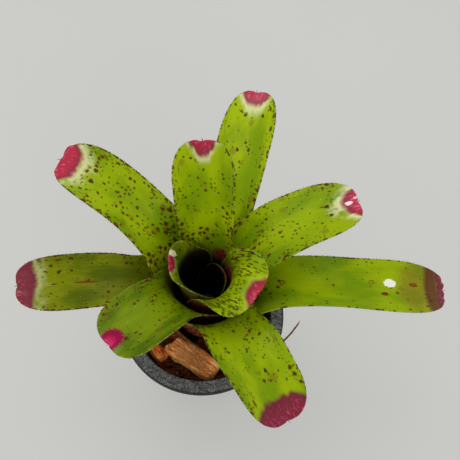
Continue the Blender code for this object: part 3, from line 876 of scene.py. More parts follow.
        full = self.width * (self.neck + (1.0 - self.neck) * ease(along / self.FULL_WIDTH_AT))
        rounding = self.TIP_END * np.clip((along - (1.0 - self.TIP_SHARE)) / self.TIP_SHARE, 0.0, 1.0)
        narrowing = (1.0 - rounding**self.TIP_TAPER) ** (1.0 / self.TIP_BLUNT)
        trough = np.radians(self.channel + (self.tip_channel - self.channel) * ease((along - 0.35) / 0.65))
        half_angle = (1.0 - opened) * math.radians(self.wrap) + opened * trough * narrowing
        bend = ((1.0 - opened) * radius + opened * full / (2.0 * trough))[:, None]
        share = np.sin(0.5 * math.pi * np.linspace(-1.0, 1.0, self.ACROSS + 1))
        angle = half_angle[:, None] * share[None, :]
        aside, inward = bend * np.sin(angle), bend * (1.0 - np.cos(angle))
        roll = (math.radians(self.roll) * ease(along / 0.8))[:, None]
        aside, inward = (aside * np.cos(roll) - inward * np.sin(roll),
                         aside * np.sin(roll) + inward * np.cos(roll))

        turn = math.radians(self.azimuth)
        outward = np.array([math.cos(turn), math.sin(turn), 0.0])
        leftward = np.array([-math.sin(turn), math.cos(turn), 0.0])
        upward = np.array([0.0, 0.0, 1.0])
        drift = self.sweep * along**2
        drifting = np.gradient(drift, at)[:, None]
        forward = unit(slope[:, :1] * outward + slope[:, 1:] * upward + drifting * leftward)
        blade_normal = -slope[:, 1:] * outward + slope[:, :1] * upward
        blade_side = unit(np.cross(blade_normal, forward))
        eased = opened[:, None]
        normal = unit((1.0 - eased) * -outward + eased * blade_normal)
        side = unit((1.0 - eased) * leftward + eased * blade_side)
        midrib = radius[:, None] * outward + height[:, None] * upward + drift[:, None] * leftward
        points = (np.array([axis, 0.0, 0.0]) + midrib[:, None] + aside[..., None] * side[:, None]
                  + inward[..., None] * normal[:, None])

        half_width = (bend[:, 0] * half_angle)[:, None]
        across = half_width * share[None, :]
        tip = np.broadcast_to((total - at)[:, None], across.shape)
        points += self.unevenness(across, tip, opened)[..., None] * normal[:, None]
        dent = self.notch * np.exp(-((across / self.DENT_WIDTH) ** 2)) * ease(1.0 - tip / self.DENT_LENGTH)
        points -= dent[..., None] * forward[:, None]
        places = {"across": across, "tip": tip, "edge": half_width - np.abs(across),
                  "rise": np.broadcast_to((at - sheath_length)[:, None], across.shape)}
        return points, places

    def unevenness(self, across: Array, tip: Array, opened: Array) -> Array:
        """Height of the blade's own waves, and of the dried folds at its tip, in mm."""
        seed = int(self.finish.seed * 10)
        waves = self.WAVE * ripple(across / self.WAVE_ACROSS, tip / self.WAVE_ALONG, seed)
        folds = self.pleats * ripple(across / self.FOLD_ACROSS, tip / self.FOLD_ALONG, seed + 1)
        return waves * ease(opened)[:, None] + folds * ease(1.0 - tip / self.FOLDS_FROM)

    def thick(self, points: Array, places: dict[str, Array]) -> Surface:
        """Give the middle surface its thickness, with rounded margins and ends.

        The half thickness is the root of one minus a high power of the share across, so that
        the margins are round, and it eases down over the last rows in the same way.

        Args:
            points: Rows by columns by 3, in mm.
            places: Where each point is on the leaf.

        Returns:
            The closed leaf in metres.
        """
        face = unit(np.cross(np.gradient(points, axis=1), np.gradient(points, axis=0)))
        share = np.linspace(-1.0, 1.0, self.ACROSS + 1)
        margin = np.sqrt(1.0 - np.abs(share) ** self.MARGIN_POWER)[None, :]
        rows = np.arange(self.ROWS)[:, None]
        last = np.clip((rows - (self.ROWS - math.ceil(self.END_ROWS))) / self.END_ROWS, 0.0, 1.0)
        half = 0.5 * self.THICKNESS * margin * np.sqrt(1.0 - last**2)
        thinning = 1.0 - self.THINNED * ease(1.0 - places["edge"] / self.THINNED_OVER)
        half = (half * thinning)[..., None]
        upper, lower = points - half * face, points + half * face
        inner = slice(self.ACROSS - 1, 0, -1)
        ring = np.concatenate([upper, lower[:, inner]], axis=1) * MM
        carried = {key: np.concatenate([values, values[:, inner]], axis=1).ravel()
                   for key, values in places.items()}
        under = np.concatenate([np.zeros_like(upper[..., 0]), np.ones_like(lower[:, inner, 0])], axis=1)
        return ring_grid(ring, Ends.STRIPS).carry(**carried, under=under.ravel())

    def teeth(self, points: Array, places: dict[str, Array]) -> Surface:
        """Tiny forward-leaning thorns along both margins of the blade.

        Each thorn is a strand of three rings that narrows to a point. Its root lies just inside
        the margin, and it leans outwards and towards the tip.

        Args:
            points: Middle surface, in mm.
            places: Where each point is on the leaf.

        Returns:
            All the thorns in metres.
        """
        draw = np.random.default_rng(int(self.finish.seed * 10) + 5)
        rise, tip = places["rise"][:, 0], places["tip"][:, 0]
        usable = np.flatnonzero((rise > -6.0) & (tip > 3.0))
        stops = np.arange(rise[usable[0]], rise[usable[-1]], self.TOOTH_PITCH)
        stops = stops + draw.uniform(-self.TOOTH_SWAY, self.TOOTH_SWAY, len(stops))
        rows = np.unique(np.clip(np.searchsorted(rise, stops), 1, self.ROWS - 2))
        roots, heads = [], []
        for margin, neighbour in ((0, 3), (-1, -4)):
            edge = points[rows, margin]
            away = unit(edge - points[rows, neighbour])
            onward = unit(points[rows + 1, margin] - points[rows - 1, margin])
            size = draw.uniform(*self.TOOTH_SIZE, len(rows))[:, None]
            roots.append(edge - 0.35 * away)
            heads.append(edge + size * (0.75 * away + 0.6 * onward))
        root, head = np.concatenate(roots), np.concatenate(heads)
        share = np.array(self.TOOTH_SHARES)[None, :, None]
        paths = root[:, None] * (1.0 - share) + head[:, None] * share
        thorns = strands(paths * MM, np.array(self.TOOTH_RADII) * MM)
        return thorns.carry(across=60.0, edge=0.1, rise=40.0, under=0.0, tip=40.0)

    def point(self, points: Array) -> Surface:
        """The thin dark spine in the tip's dent: a tapered strand that curls upwards.

        Args:
            points: Middle surface, in mm.

        Returns:
            The spine in metres.
        """
        middle = self.ACROSS // 2
        root = points[-1, middle]
        onward = unit(points[-1, middle] - points[-6, middle])
        across = unit(points[-6, middle + 3] - points[-6, middle - 3])
        over = np.cross(onward, across)
        over = over * np.sign(over[2] if abs(over[2]) > 0.2 else 1.0)
        share = np.linspace(0.0, 1.0, 7)[:, None]
        curl = 0.45 * share**2 * over + 0.2 * share**2 * across
        path = root + self.spine * (share * onward + curl) - 0.5 * onward
        radii = self.SPINE_RADIUS * (1.0 - 0.9 * share[:, 0])
        surface = strands(path[None] * MM, radii * MM, 6)
        return surface.carry(across=0.0, edge=6.0, rise=90.0, under=0.0, tip=0.3)

    def build(self, skin: LeafSkin, rim: float, stem: float, axis: float) -> bpy.types.Object:
        """Make the leaf and let it stand for its CAD solid.

        Args:
            skin: Pattern that the leaves share.
            rim: Height of the pot's rim, in mm.
            stem: Radius of the stem, in mm.
            axis: How far the plant stands to the right of the pot's axis, in mm.

        Returns:
            The leaf.
        """
        points, places = self.middle(rim, stem, axis)
        surface = join([self.thick(points, places), self.teeth(points, places), self.point(points)])
        piece = make_piece(f"{self.name}_blade", surface, skin.dress(self.name, self.finish))
        return stand_in(piece, self.name)


def leaves() -> list[StrapLeaf]:
    """The eleven leaves, from the outermost to the innermost."""
    fresh, bright, olive, shaded = GreenTone.FRESH, GreenTone.BRIGHT, GreenTone.OLIVE, GreenTone.SHADED
    scratch = Mark(0.5, 46.0, 0.7, 8.5, (112, 58, 16))
    nick = Mark(0.5, 25.0, 0.4, 2.2, (70, 34, 14))
    ring = Mark(2.0, 107.0, 1.8, 1.8, (132, 54, 14), hollow=True, ragged=0.1)
    # painted highlight: a crisp white reflection on the blade
    painted_glint_patch = Mark(2.6, 41.0, 2.9, 4.4, (240, 240, 222), ragged=0.9)
    brown_scar = Mark(2.4, 24.5, 1.5, 3.2, (122, 72, 22), ragged=1.1)
    scar_behind = Mark(2.4, 53.0, 1.4, 1.9, (126, 74, 20), hollow=True, ragged=0.7)
    scar_below = Mark(-4.6, 45.0, 1.2, 3.0, (104, 52, 16), ragged=1.3)
    dusk = Mark(0.0, 24.0, 24.0, 17.0, (124, 100, 30), ragged=0.5, soft=0.7, strength=0.6)
    band = Mark(0.0, 11.5, 34.0, 7.0, (92, 20, 36), ragged=0.6, soft=0.55, strength=0.85)
    patch = Mark(-1.5, 4.0, 7.4, 8.6, (142, 6, 58), ragged=0.7, soft=0.3)
    patch_heart = Mark(-1.0, 2.0, 4.6, 5.4, (196, 20, 84), ragged=0.9, soft=0.6, strength=0.8)
    throat_flush = Mark(-9.0, 92.0, 7.5, 8.5, (138, 20, 54), ragged=0.6, soft=0.85, strength=0.8)
    wall_flush = Mark(16.0, 51.0, 7.0, 8.5, (170, 16, 74), ragged=0.7, soft=0.5, strength=0.85)
    # painted highlight: a white gleam beside the tip
    painted_tip_highlight = Mark(-6.5, 2.0, 1.9, 4.2, (222, 204, 170), ragged=1.3)
    # painted highlights: glints on the glossy tip
    glint = Mark(1.0, 5.6, 1.5, 2.4, (255, 222, 230), ragged=1.3)
    painted_tip_glint = Mark(3.5, 1.2, 0.8, 1.2, (250, 190, 206), ragged=1.0)
    return [
        StrapLeaf("outer_leaf_left", 9, 180.0, 38.0, 117.0, 52.0, -2.0, 35.0, 28.0, 70.0,
                  LeafFinish(1.3, olive, TipTone.DUSTY, 14.0, 30.0, 0.36, 10.0, 0.2, 1.1, 0.15, 0.3, 0.75,
                             marks=(scratch, nick)),
                  roll=-20.0, pleats=0.6),
        StrapLeaf("outer_leaf_right", 9, -8.0, 38.0, 148.0, 44.0, -38.0, 34.0, 40.0, 70.0,
                  LeafFinish(2.7, fresh, TipTone.DUSTY, 9.0, 30.0, 0.0, 12.0, 0.12, 0.8, 0.1, 0.2, 0.45,
                             marks=(dusk, band, ring, painted_glint_patch, brown_scar, scar_behind, scar_below)),
                  sweep=20.0, neck=1.1, pleats=0.7),
        StrapLeaf("outer_leaf_back", 8, 69.0, 44.0, 115.0, 100.0, 12.0, 35.0, 30.0, 70.0,
                  LeafFinish(4.1, bright, TipTone.CRIMSON, 11.0, 9.0, 0.9, 8.0, 0.36, 0.95, 0.3, 0.4, 0.6),
                  roll=-8.0, sweep=9.0),
        StrapLeaf("outer_leaf_front", 7, -64.0, 48.0, 101.0, 74.0, -6.0, 45.0, 26.0, 75.0,
                  LeafFinish(5.9, fresh, TipTone.WINE, 15.0, 24.0, 0.0, 7.0, 0.38, 1.1, 0.35, 0.5, 0.6,
                             pale_rim=0.2, painted_shade_from=-6.0),
                  roll=-24.0, sweep=4.0, neck=0.66),
        StrapLeaf("middle_leaf_back_left", 6, 136.5, 50.0, 104.0, 101.0, -24.0, 34.0, 30.0, 66.0,
                  LeafFinish(7.2, fresh, TipTone.CRIMSON, 15.0, 16.0, 0.7, 11.0, 0.6, 1.15, 0.35, 0.5, 0.7,
                             pale_rim=0.3),
                  roll=-14.0, sweep=15.0, neck=1.15, pleats=0.8),
        StrapLeaf("middle_leaf_back_right", 5, 25.0, 54.0, 97.0, 100.0, 10.0, 41.0, 24.0, 58.0,
                  LeafFinish(8.6, fresh, TipTone.CRIMSON, 11.0, 11.0, 0.9, 10.0, 0.38, 1.1, 0.35, 0.4, 0.5,
                             marks=(glint, painted_tip_glint)),
                  roll=-14.0, sweep=-8.0, neck=0.85),
        StrapLeaf("middle_leaf_front_left", 5, 226.0, 62.0, 72.0, 86.0, 12.0, 42.0, 28.0, 75.0,
                  LeafFinish(10.4, shaded, TipTone.CRIMSON, 4.0, 6.0, 0.1, 8.0, 0.40, 0.9, 0.4, 0.5, 0.4,
                             pale_rim=0.9, painted_shade_from=-4.0, marks=(patch, patch_heart)),
                  roll=10.0, sweep=-4.0, neck=0.8),
        StrapLeaf("upright_leaf", 4, 85.0, 62.0, 45.0, 151.0, 66.0, 37.0, 42.0, 80.0,
                  LeafFinish(11.8, bright, TipTone.CRIMSON, 11.0, 6.5, 0.8, 7.0, 0.30, 1.1, 0.6, 0.9, 0.55,
                             pale_rim=0.9, marks=(throat_flush,)),
                  sweep=3.0, spine=4.0),
        StrapLeaf("heart_leaf_right", 3, -38.0, 64.0, 40.0, 102.0, 4.0, 43.5, 70.0, 91.0,
                  LeafFinish(13.1, bright, TipTone.CRIMSON, 8.5, 9.0, 0.1, 4.0, 0.3, 0.8, 1.0, 0.4, 0.35,
                             streak_zone=22.0, pale_rim=0.8, speckle=0.62, marks=(wall_flush,)),
                  roll=20.0, leave=0.78, open=0.45, tip_channel=26.0),
        StrapLeaf("heart_leaf_left", 2, 187.0, 65.0, 20.0, 94.0, 50.0, 32.6, 62.0, 115.0,
                  LeafFinish(14.9, shaded, TipTone.CRIMSON, 7.5, 5.5, 0.3, 4.0, 0.34, 0.8, 0.8, 0.3, 0.2,
                             streak_zone=16.0, painted_shade_from=20.0, pale_rim=0.8, speckle=0.16, marks=(painted_tip_highlight,)),
                  roll=-6.0, neck=1.15, leave=0.9, open=0.95, tip_channel=45.0, pleats=0.2),
        StrapLeaf("heart_leaf_inner", 0, 20.0, 34.0, 12.9, 62.0, 85.0, 24.9, 62.0, 104.0,
                  LeafFinish(16.3, shaded, TipTone.WINE, 3.0, 5.0, 0.1, 4.0, 0.3, 0.8, 0.5, 0.8, 0.2,
                             painted_shade_from=40.0, pale_rim=0.0),
                  leave=0.85, open=0.95, tip_channel=55.0, pleats=0.1, notch=0.4, spine=1.0),
    ]


# --- Coconut husk -----------------------------------------------------------------------
class HuskTone(Enum):
    """Ground, pale and dark fibre colours of a piece of husk; the pale, laid on the grain's crests, is partly
    painted highlight, and the dark, in its hollows, partly painted shade.
    """

    TAN = ((255, 150, 66), (255, 214, 140), (156, 62, 22))
    RED = ((196, 80, 34), (240, 140, 80), (84, 26, 12))
    ORANGE = ((240, 116, 42), (255, 178, 96), (134, 48, 16))
    DARK = ((98, 46, 24), (156, 86, 48), (28, 12, 8))


class HuskFinish:
    """Fibrous husk: colour drawn out along the grain, rough, with lengthwise ridges; pale on the crests and
    dark in the hollows, partly painted highlight and shade.
    """

    def __init__(self) -> None:
        """Build the shared grain group."""
        self.group, w, given, result = new_group(
            "husk_grain", ("long", "round", "seed"), ("ground", "pale", "dark"),
            {"Colour": COLOUR, "Height": NUMBER})
        take = given.outputs

        def woven(pace: float, around: Socket, detail: float = 3.0, roughness: float = 0.6) -> Socket:
            place = w.vector(w.scaled(take["long"], pace), around, take["seed"])
            return w.noise(place, detail, roughness)

        wander = woven(0.16, w.scaled(take["round"], 0.16), 2.0, 0.5)
        bent = w.plus(take["round"], w.scaled(wander, 3.4))
        fine, coarse = woven(0.20, w.scaled(bent, 1.9)), woven(0.11, w.scaled(bent, 0.7))
        patch = woven(0.14, w.scaled(take["round"], 0.14), roughness=0.5)
        # pale where the relief is high and dark where it is low: partly fibre colour, partly painted
        # highlight and painted shade
        colour = w.blend(w.step(fine, 0.49, 0.57), take["ground"], take["pale"])
        colour = w.blend(w.scaled(w.step(coarse, 0.47, 0.37), 0.85), colour, take["dark"])
        colour = w.blend(w.scaled(w.step(fine, 0.44, 0.36), 0.85), colour, take["dark"])
        colour = w.blend(w.scaled(w.step(patch, 0.52, 0.70), 0.4), colour, take["pale"])
        w.link(colour, result.inputs["Colour"])
        w.link(w.plus(w.scaled(fine, 0.6), w.scaled(coarse, 0.7)), result.inputs["Height"])

    def dress(self, name: str, tone: HuskTone, seed: float) -> bpy.types.Material:
        """The material of one piece of husk.

        Args:
            name: Name of the piece.
            tone: Its colours.
            seed: Moves the grain, so that pieces differ.

        Returns:
            Its material.
        """
        material, w, shader = new_material(f"{name}_husk", 0.85, 0.12)
        given = {key: linear(*colour) for key, colour in zip(("ground", "pale", "dark"), tone.value)}
        given |= {"long": w.value("long"), "round": w.value("round"), "seed": seed}
        grain = w.add("ShaderNodeGroup", given, node_tree=self.group)
        w.link(grain.outputs["Colour"], shader.inputs["Base Color"])
        w.bump(grain.outputs["Height"], shader, {"Strength": 0.8, "Distance": 0.0006})
        return material


@dataclass(frozen=True)
class HuskChunk:
    """One block of husk cut across its fibres; mm and degrees."""

    name: str
    size: tuple[float, float, float]
    turn: float
    tone: HuskTone = HuskTone.RED
    tilt: float = 0.0
    fibres: int = 26
    curls: int = 0             # in the tuft heaped over it
    rounding: float = 5.0      # exponent of its rounded-box form; larger is squarer

    ROUGHNESS = 0.09
    RINGS = 56
    AROUND = 72
    # ridges: height in mm, and how many radians of wave per mm round the block and along it
    FINE_RIDGE, BROAD_RIDGE, FRAY = (0.34, 2.3, 0.12), (0.42, 0.55, 0.22), (0.10, 3.1, 0.05)
    SUNK = 0.25                # brings the ridges' tops back to the block's size
    FIBRE_STEPS, FIBRE_SWING, FIBRE_RADIUS, FIBRE_LIFT = 9, 0.35, (0.09, 0.2), 1.1
    FIBRE_END, FIBRE_ON = 1.12, 0.93   # shares of the half length: where a fibre stops, and leaves the block
    CURL_STEPS, CURL_RADIUS, CURL_ARC, CURL_THICKNESS = 12, (1.2, 4.2), (1.2, 3.6), (0.10, 0.24)
    GRAIN_SPREAD = 40.0

    def number(self) -> int:
        """A whole number drawn from the piece's name, which fixes its grain."""
        return sum(ord(letter) * (place + 3) for place, letter in enumerate(self.name)) % 1000

    def form(self, heading: Array, order: int) -> Array:
        """Surface point in each direction: a rounded box whose radius swells and dips."""
        cube = heading / np.abs(heading).max(axis=-1, keepdims=True)
        power = self.rounding
        rounded = cube / (np.abs(cube) ** power).sum(axis=-1, keepdims=True) ** (1.0 / power)
        x, y, z = np.moveaxis(cube, -1, 0)
        return rounded * (1.0 + self.ROUGHNESS * np.sin(2.3 * x + 1.9 * y - 1.3 * z + 2.1 * order))[..., None]

    def turned(self, points: Array) -> Array:
        """Points tilted up at the far end, then turned round the vertical."""
        tilt, turn = -math.radians(self.tilt), math.radians(self.turn)
        rise, level = math.sin(tilt), math.cos(tilt)
        lift = np.array([[level, 0.0, rise], [0.0, 1.0, 0.0], [-rise, 0.0, level]])
        spin = np.array([[math.cos(turn), -math.sin(turn), 0.0], [math.sin(turn), math.cos(turn), 0.0],
                         [0.0, 0.0, 1.0]])
        return points @ (spin @ lift).T

    def block(self, order: int) -> tuple[Surface, Array]:
        """The block itself: rings round its length, ridged along the fibres.

        A ring's place along the length follows a cosine, so that the rings crowd where the ends
        turn in. Ridges are sines of the angle round the length whose phase drifts along it.

        Args:
            order: The piece's place in the list, which fixes its swellings.

        Returns:
            The surface about its own middle, in mm, and its half sizes.
        """
        half = np.array(self.size) * 0.5
        polar = np.linspace(0.03, math.pi - 0.03, self.RINGS)[:, None]
        around = round_steps(self.AROUND)[None, :]
        flat = np.sin(polar)
        heading = np.stack([np.broadcast_to(-np.cos(polar), (self.RINGS, self.AROUND)),
                            flat * np.cos(around), flat * np.sin(around)], axis=-1)
        points = self.form(heading, order) * half
        long = points[..., 0]
        girth = np.broadcast_to(around, long.shape) * (half[1] + half[2]) * 0.5
        seed = self.number()
        layers = (self.FINE_RIDGE, self.BROAD_RIDGE, self.FRAY)
        fine, broad, fray = (height * ripple(girth * round_, long * onward, seed + k)
                             for k, (height, round_, onward) in enumerate(layers))
        fray = fray * ease(np.abs(long) / half[0] * 2.2 - 1.2) * half[0] * 0.5
        points = points + unit(points * np.array([0.15, 1.0, 1.0])) * (fine + broad - self.SUNK)[..., None]
        points[..., 0] += np.sign(long) * fray
        surface = ring_grid(points, Ends.FANS)
        surface.carry(long=np.append(long.ravel(), [-half[0], half[0]]),
                      round=np.append(girth.ravel(), [0.0, 0.0]))
        return surface, half

    def fibrous(self, paths: Array, radii: Array, draw: np.random.Generator) -> Surface:
        """Strands whose grain runs along the block, each point at a place drawn round it."""
        surface = strands(paths, radii)
        around = draw.uniform(0.0, self.GRAIN_SPREAD, len(surface.points))
        return surface.carry(long=surface.points[:, 0], round=around)

    def fringe(self, order: int, half: Array) -> Surface:
        """Loose fibres that lie on the block and stand off its ends, in mm."""
        draw = np.random.default_rng(self.number() + 7)
        count = self.fibres
        around = draw.uniform(-0.2, math.pi + 0.2, count)
        start, span = draw.uniform(-1.0, 0.5, count), draw.uniform(0.3, 0.9, count)
        share = np.linspace(0.0, 1.0, self.FIBRE_STEPS)[None, :]
        place = np.clip(start[:, None] + span[:, None] * share * 1.6, -self.FIBRE_END, self.FIBRE_END)
        swing = around[:, None] + draw.uniform(-self.FIBRE_SWING, self.FIBRE_SWING, (count, 1)) * share
        heading = np.stack([np.clip(place, -self.FIBRE_ON, self.FIBRE_ON), np.cos(swing) * 0.75,
                            np.sin(swing) * 0.75], axis=-1)
        on = self.form(heading, order) * half
        on[..., 0] = place * half[0]
        arch = draw.uniform(0.0, self.FIBRE_LIFT, (count, 1)) * np.sin(share * math.pi) ** 2
        lift = 0.12 + arch * draw.choice([0.2, 1.0], (count, 1))
        away = unit(on * np.array([0.0, 1.0, 1.0]))
        paths = on + away * lift[..., None]
        radii = draw.uniform(*self.FIBRE_RADIUS, (count, 1)) * (1.0 - 0.6 * np.abs(share * 2.0 - 1.0) ** 3)
        return self.fibrous(paths, radii, draw)

    def tuft(self, half: Array) -> Surface:
        """Curled fibres heaped over the block, each an open loop at its own slant, in mm."""
        draw = np.random.default_rng(self.number() + 11)
        count = self.curls
        turn = draw.uniform(0.0, FULL_TURN, count)
        far = np.sqrt(draw.uniform(0.0, 1.0, count))
        middle = np.stack([far * np.cos(turn) * half[0] * 1.05, far * np.sin(turn) * half[1] * 1.7,
                           draw.uniform(0.2, 1.6, count) * half[2] * (1.25 - far)], axis=-1)
        radius = draw.uniform(*self.CURL_RADIUS, (count, 1))
        arc = draw.uniform(0.0, 6.3, (count, 1))
        arc = arc + draw.uniform(*self.CURL_ARC, (count, 1)) * np.linspace(0.0, 1.0, self.CURL_STEPS)
        spin, lean = draw.uniform(0.0, 6.3, (2, count, 1))
        flat = radius * np.cos(arc)
        paths = middle[:, None] + np.stack([
            flat * np.cos(spin) - radius * np.sin(arc) * np.sin(spin) * 0.8,
            flat * np.sin(spin) + radius * np.sin(arc) * np.cos(spin) * 0.8,
            0.4 * radius * np.sin(arc + lean)], axis=-1)
        return self.fibrous(paths, draw.uniform(*self.CURL_THICKNESS, (count, 1)), draw)

    def build(self, finish: HuskFinish, order: int) -> bpy.types.Object:
        """Make the chunk where its CAD solid is, and let it stand for that.

        Args:
            finish: Grain that the pieces share.
            order: The piece's place in the list.

        Returns:
            The chunk.
        """
        low, high = (np.array(corner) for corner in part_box(self.name))
        block, half = self.block(order)
        extra = [self.tuft(half)] if self.curls else []
        surface = join([block, self.fringe(order, half), *extra])
        surface.points = self.turned(surface.points) * MM
        body = surface.points[: len(block.points)]
        middle = 0.5 * (low + high)
        middle[2] = low[2] - body[:, 2].min()
        surface.points = surface.points + middle
        material = finish.dress(self.name, self.tone, self.number() * 0.37)
        return stand_in(make_piece(f"{self.name}_fibrous", surface, material), self.name)


def husk_chunks() -> list[HuskChunk]:
    """The pieces that lie on the bed, the four that show from the front first."""
    tan, red, orange = HuskTone.TAN, HuskTone.RED, HuskTone.ORANGE
    hidden = (
        ((20.0, 14.0, 9.0), 30.0, red), ((12.0, 9.0, 7.0), 80.0, red), ((18.0, 12.0, 9.0), -50.0, tan),
        ((17.0, 12.0, 8.0), -15.0, orange), ((18.0, 12.0, 10.0), 10.0, red), ((18.0, 12.0, 8.0), 50.0, tan),
        ((16.0, 11.0, 9.0), 80.0, red), ((14.0, 11.0, 8.0), 95.0, orange), ((11.0, 8.0, 6.0), 20.0, red),
        ((13.0, 9.0, 7.0), 85.0, red), ((13.0, 9.0, 7.0), -50.0, red), ((13.0, 9.0, 7.0), 0.0, red),
        ((12.0, 9.0, 7.0), 45.0, red), ((9.0, 7.0, 7.0), 90.0, red),
    )
    return [
        HuskChunk("husk_chunk_front", (35.0, 14.0, 10.5), -35.0, tan, 2.0, 170, rounding=9.0),
        HuskChunk("husk_chunk_dark", (16.0, 6.6, 6.0), -38.0, red, 0.0, 90, curls=260),
        HuskChunk("husk_chunk_left", (12.0, 7.5, 8.0), -50.0, orange),
        HuskChunk("husk_chunk_right", (11.0, 9.0, 9.0), 70.0, orange),
        *(HuskChunk(f"husk_chunk_{order:02d}", *shape) for order, shape in enumerate(hidden, 1)),
    ]


@dataclass(frozen=True)
class HuskBed:
    """Packed husk under the chunks, with crumbs and stray fibres on it; mm."""

    crumbs: int = 420
    hairs: int = 420
    rings: int = 90
    around: int = 180
    relief: float = 0.7
    foot_radius: float = 31.8
    crumb_size: tuple[float, float] = (0.5, 1.7)
    hair_length: tuple[float, float] = (4.0, 11.0)
    hair_radius: tuple[float, float] = (0.08, 0.18)
    hair_steps: int = 8
    grain_spread: float = 60.0

    def build(self, finish: HuskFinish) -> bpy.types.Object:
        """Make the bed, its crumbs and its fibres as one piece.

        Args:
            finish: Grain that the husk shares.

        Returns:
            The bed.
        """
        low, high = (np.array(corner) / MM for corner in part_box("husk_bed"))
        surface = join([self.body(low, high), self.scatter(high), self.stray(high)])
        surface.points = surface.points * MM
        piece = make_piece("husk_bed_packed", surface, finish.dress("husk_bed", HuskTone.DARK, 3.0))
        return stand_in(piece, "husk_bed")

    def body(self, low: Array, high: Array) -> Surface:
        """A turned profile up the pot's wall and in over the top, with a crumbly top face."""
        foot, top = low[2], high[2] - self.relief
        wide, narrow = high[0], self.foot_radius
        path = np.concatenate([
            np.stack([np.linspace(0.5, narrow, 12), np.full(12, foot)], axis=-1),
            np.stack([np.linspace(narrow, wide - 0.3, 24), np.linspace(foot, top, 24)], axis=-1)[1:],
            np.stack([np.linspace(wide - 0.6, 0.5, self.rings), np.full(self.rings, top)], axis=-1),
        ])
        points = about(path[:, :1], round_steps(self.around)[None, :], path[:, 1:])
        face = points[1 - self.rings:]
        lumps = ripple(face[..., 0] * 0.9, face[..., 1] * 0.9, 31, 14)
        face[..., 2] += self.relief * np.clip(lumps, -1.0, 1.0)
        surface = ring_grid(points, Ends.FANS)
        x, y, z = surface.points.T
        return surface.carry(long=x, round=y + z)

    def scatter(self, high: Array) -> Surface:
        """Small angular crumbs: squashed octahedra of random size, lying on the top face."""
        draw = np.random.default_rng(41)
        far = np.sqrt(draw.uniform(0.08, 1.0, self.crumbs)) * (high[0] - 2.2)
        turn = draw.uniform(0.0, FULL_TURN, self.crumbs)
        size = draw.uniform(*self.crumb_size, (self.crumbs, 1, 1))
        size = size * draw.uniform(0.6, 1.3, (self.crumbs, 1, 3))
        corners = np.array([[1, 0, 0], [0, 1, 0], [-1, 0, 0], [0, -1, 0], [0, 0, 0.6], [0, 0, -0.6]])
        spin = draw.uniform(0.0, FULL_TURN, self.crumbs)[:, None]
        x, y, z = np.moveaxis(corners[None] * size, -1, 0)
        points = np.stack([x * np.cos(spin) - y * np.sin(spin) + (far * np.cos(turn))[:, None],
                           x * np.sin(spin) + y * np.cos(spin) + (far * np.sin(turn))[:, None],
                           z + high[2] + 0.25], axis=-1)
        faces = np.array([[0, 1, 4], [1, 2, 4], [2, 3, 4], [3, 0, 4],
                          [1, 0, 5], [2, 1, 5], [3, 2, 5], [0, 3, 5]])
        triangles = (faces[None] + len(corners) * np.arange(self.crumbs)[:, None, None]).reshape(-1, 3)
        surface = Surface(points.reshape(-1, 3), np.zeros((0, 4), dtype=int), triangles).outward()
        long, around = (np.repeat(draw.uniform(0.0, self.grain_spread, self.crumbs), len(corners))
                        for _ in range(2))
        return surface.carry(long=long, round=around)

    def stray(self, high: Array) -> Surface:
        """Fine fibres that lie over the bed in shallow arcs."""
        draw = np.random.default_rng(43)
        count = self.hairs
        far = np.sqrt(draw.uniform(0.1, 0.86, count)) * (high[0] - 4.0)
        turn = draw.uniform(0.0, FULL_TURN, count)
        heading = draw.uniform(0.0, FULL_TURN, count)[:, None]
        length = draw.uniform(*self.hair_length, count)[:, None]
        share = np.linspace(-0.5, 0.5, self.hair_steps)[None, :]
        bow = draw.uniform(-0.3, 0.3, (count, 1)) * (0.25 - share**2) * length
        x = (far * np.cos(turn))[:, None] + share * (length * np.cos(heading)) - bow * np.sin(heading)
        y = (far * np.sin(turn))[:, None] + share * (length * np.sin(heading)) + bow * np.cos(heading)
        z = high[2] + 0.5 + draw.uniform(0.2, 1.8, (count, 1)) * (1.0 - 4.0 * share**2)
        pull = np.minimum(1.0, (high[0] - 1.5) / np.hypot(x, y))
        radii = draw.uniform(*self.hair_radius, (count, 1))
        surface = strands(np.stack([x * pull, y * pull, z], axis=-1), radii)
        return surface.carry(long=surface.points[:, 0], round=surface.points[:, 1])


@dataclass(frozen=True)
class LooseFibre:
    """The stiff fibre that pokes out over the rim; mm, with heights above the rim."""

    route: tuple[tuple[float, float, float], ...] = (
        (39.0, -26.5, 2.0), (47.0, -24.3, 2.6), (54.0, -20.8, 4.0), (60.0, -14.6, 6.5), (65.0, -8.6, 10.0))
    radius: float = 0.62
    steps: int = 40
    hairs: int = 10
    hair_steps: int = 12
    hair_radius: float = 0.11
    hair_spread: float = 0.9

    def build(self, finish: HuskFinish, rim: float) -> bpy.types.Object:
        """A cubic curve through the route, tapered, with finer hairs that split from it.

        Args:
            finish: Grain that the husk shares.
            rim: Height of the pot's rim.

        Returns:
            The fibre.
        """
        route = np.array(self.route) + np.array([0.0, 0.0, rim])
        marks, at = np.linspace(0.0, 1.0, len(route)), np.linspace(0.0, 1.0, self.steps)
        fit = [np.polyfit(marks, route[:, k], 3) for k in range(3)]
        path = np.stack([np.polyval(terms, at) for terms in fit], axis=-1)
        radii = self.radius * (0.75 + 0.25 * np.sin(at * math.pi)) * (1.0 - 0.7 * ease((at - 0.9) / 0.1))
        stem = strands(path[None], radii[None], 10)
        draw = np.random.default_rng(57)
        start = draw.integers(0, 26, self.hairs)
        hair = np.stack([path[s:s + self.hair_steps] for s in start])
        away = np.linspace(0.0, 1.0, self.hair_steps)[None, :, None] ** 1.5
        push = draw.uniform(-1.0, 1.0, (self.hairs, 1, 3)) * away
        surface = join([stem, strands(hair + self.hair_spread * push, self.hair_radius)])
        surface.carry(long=surface.points[:, 0], round=surface.points[:, 2])
        surface.points = surface.points * MM
        piece = make_piece("husk_fibre_strand", surface, finish.dress("husk_fibre", HuskTone.DARK, 9.0))
        return stand_in(piece, "husk_fibre")


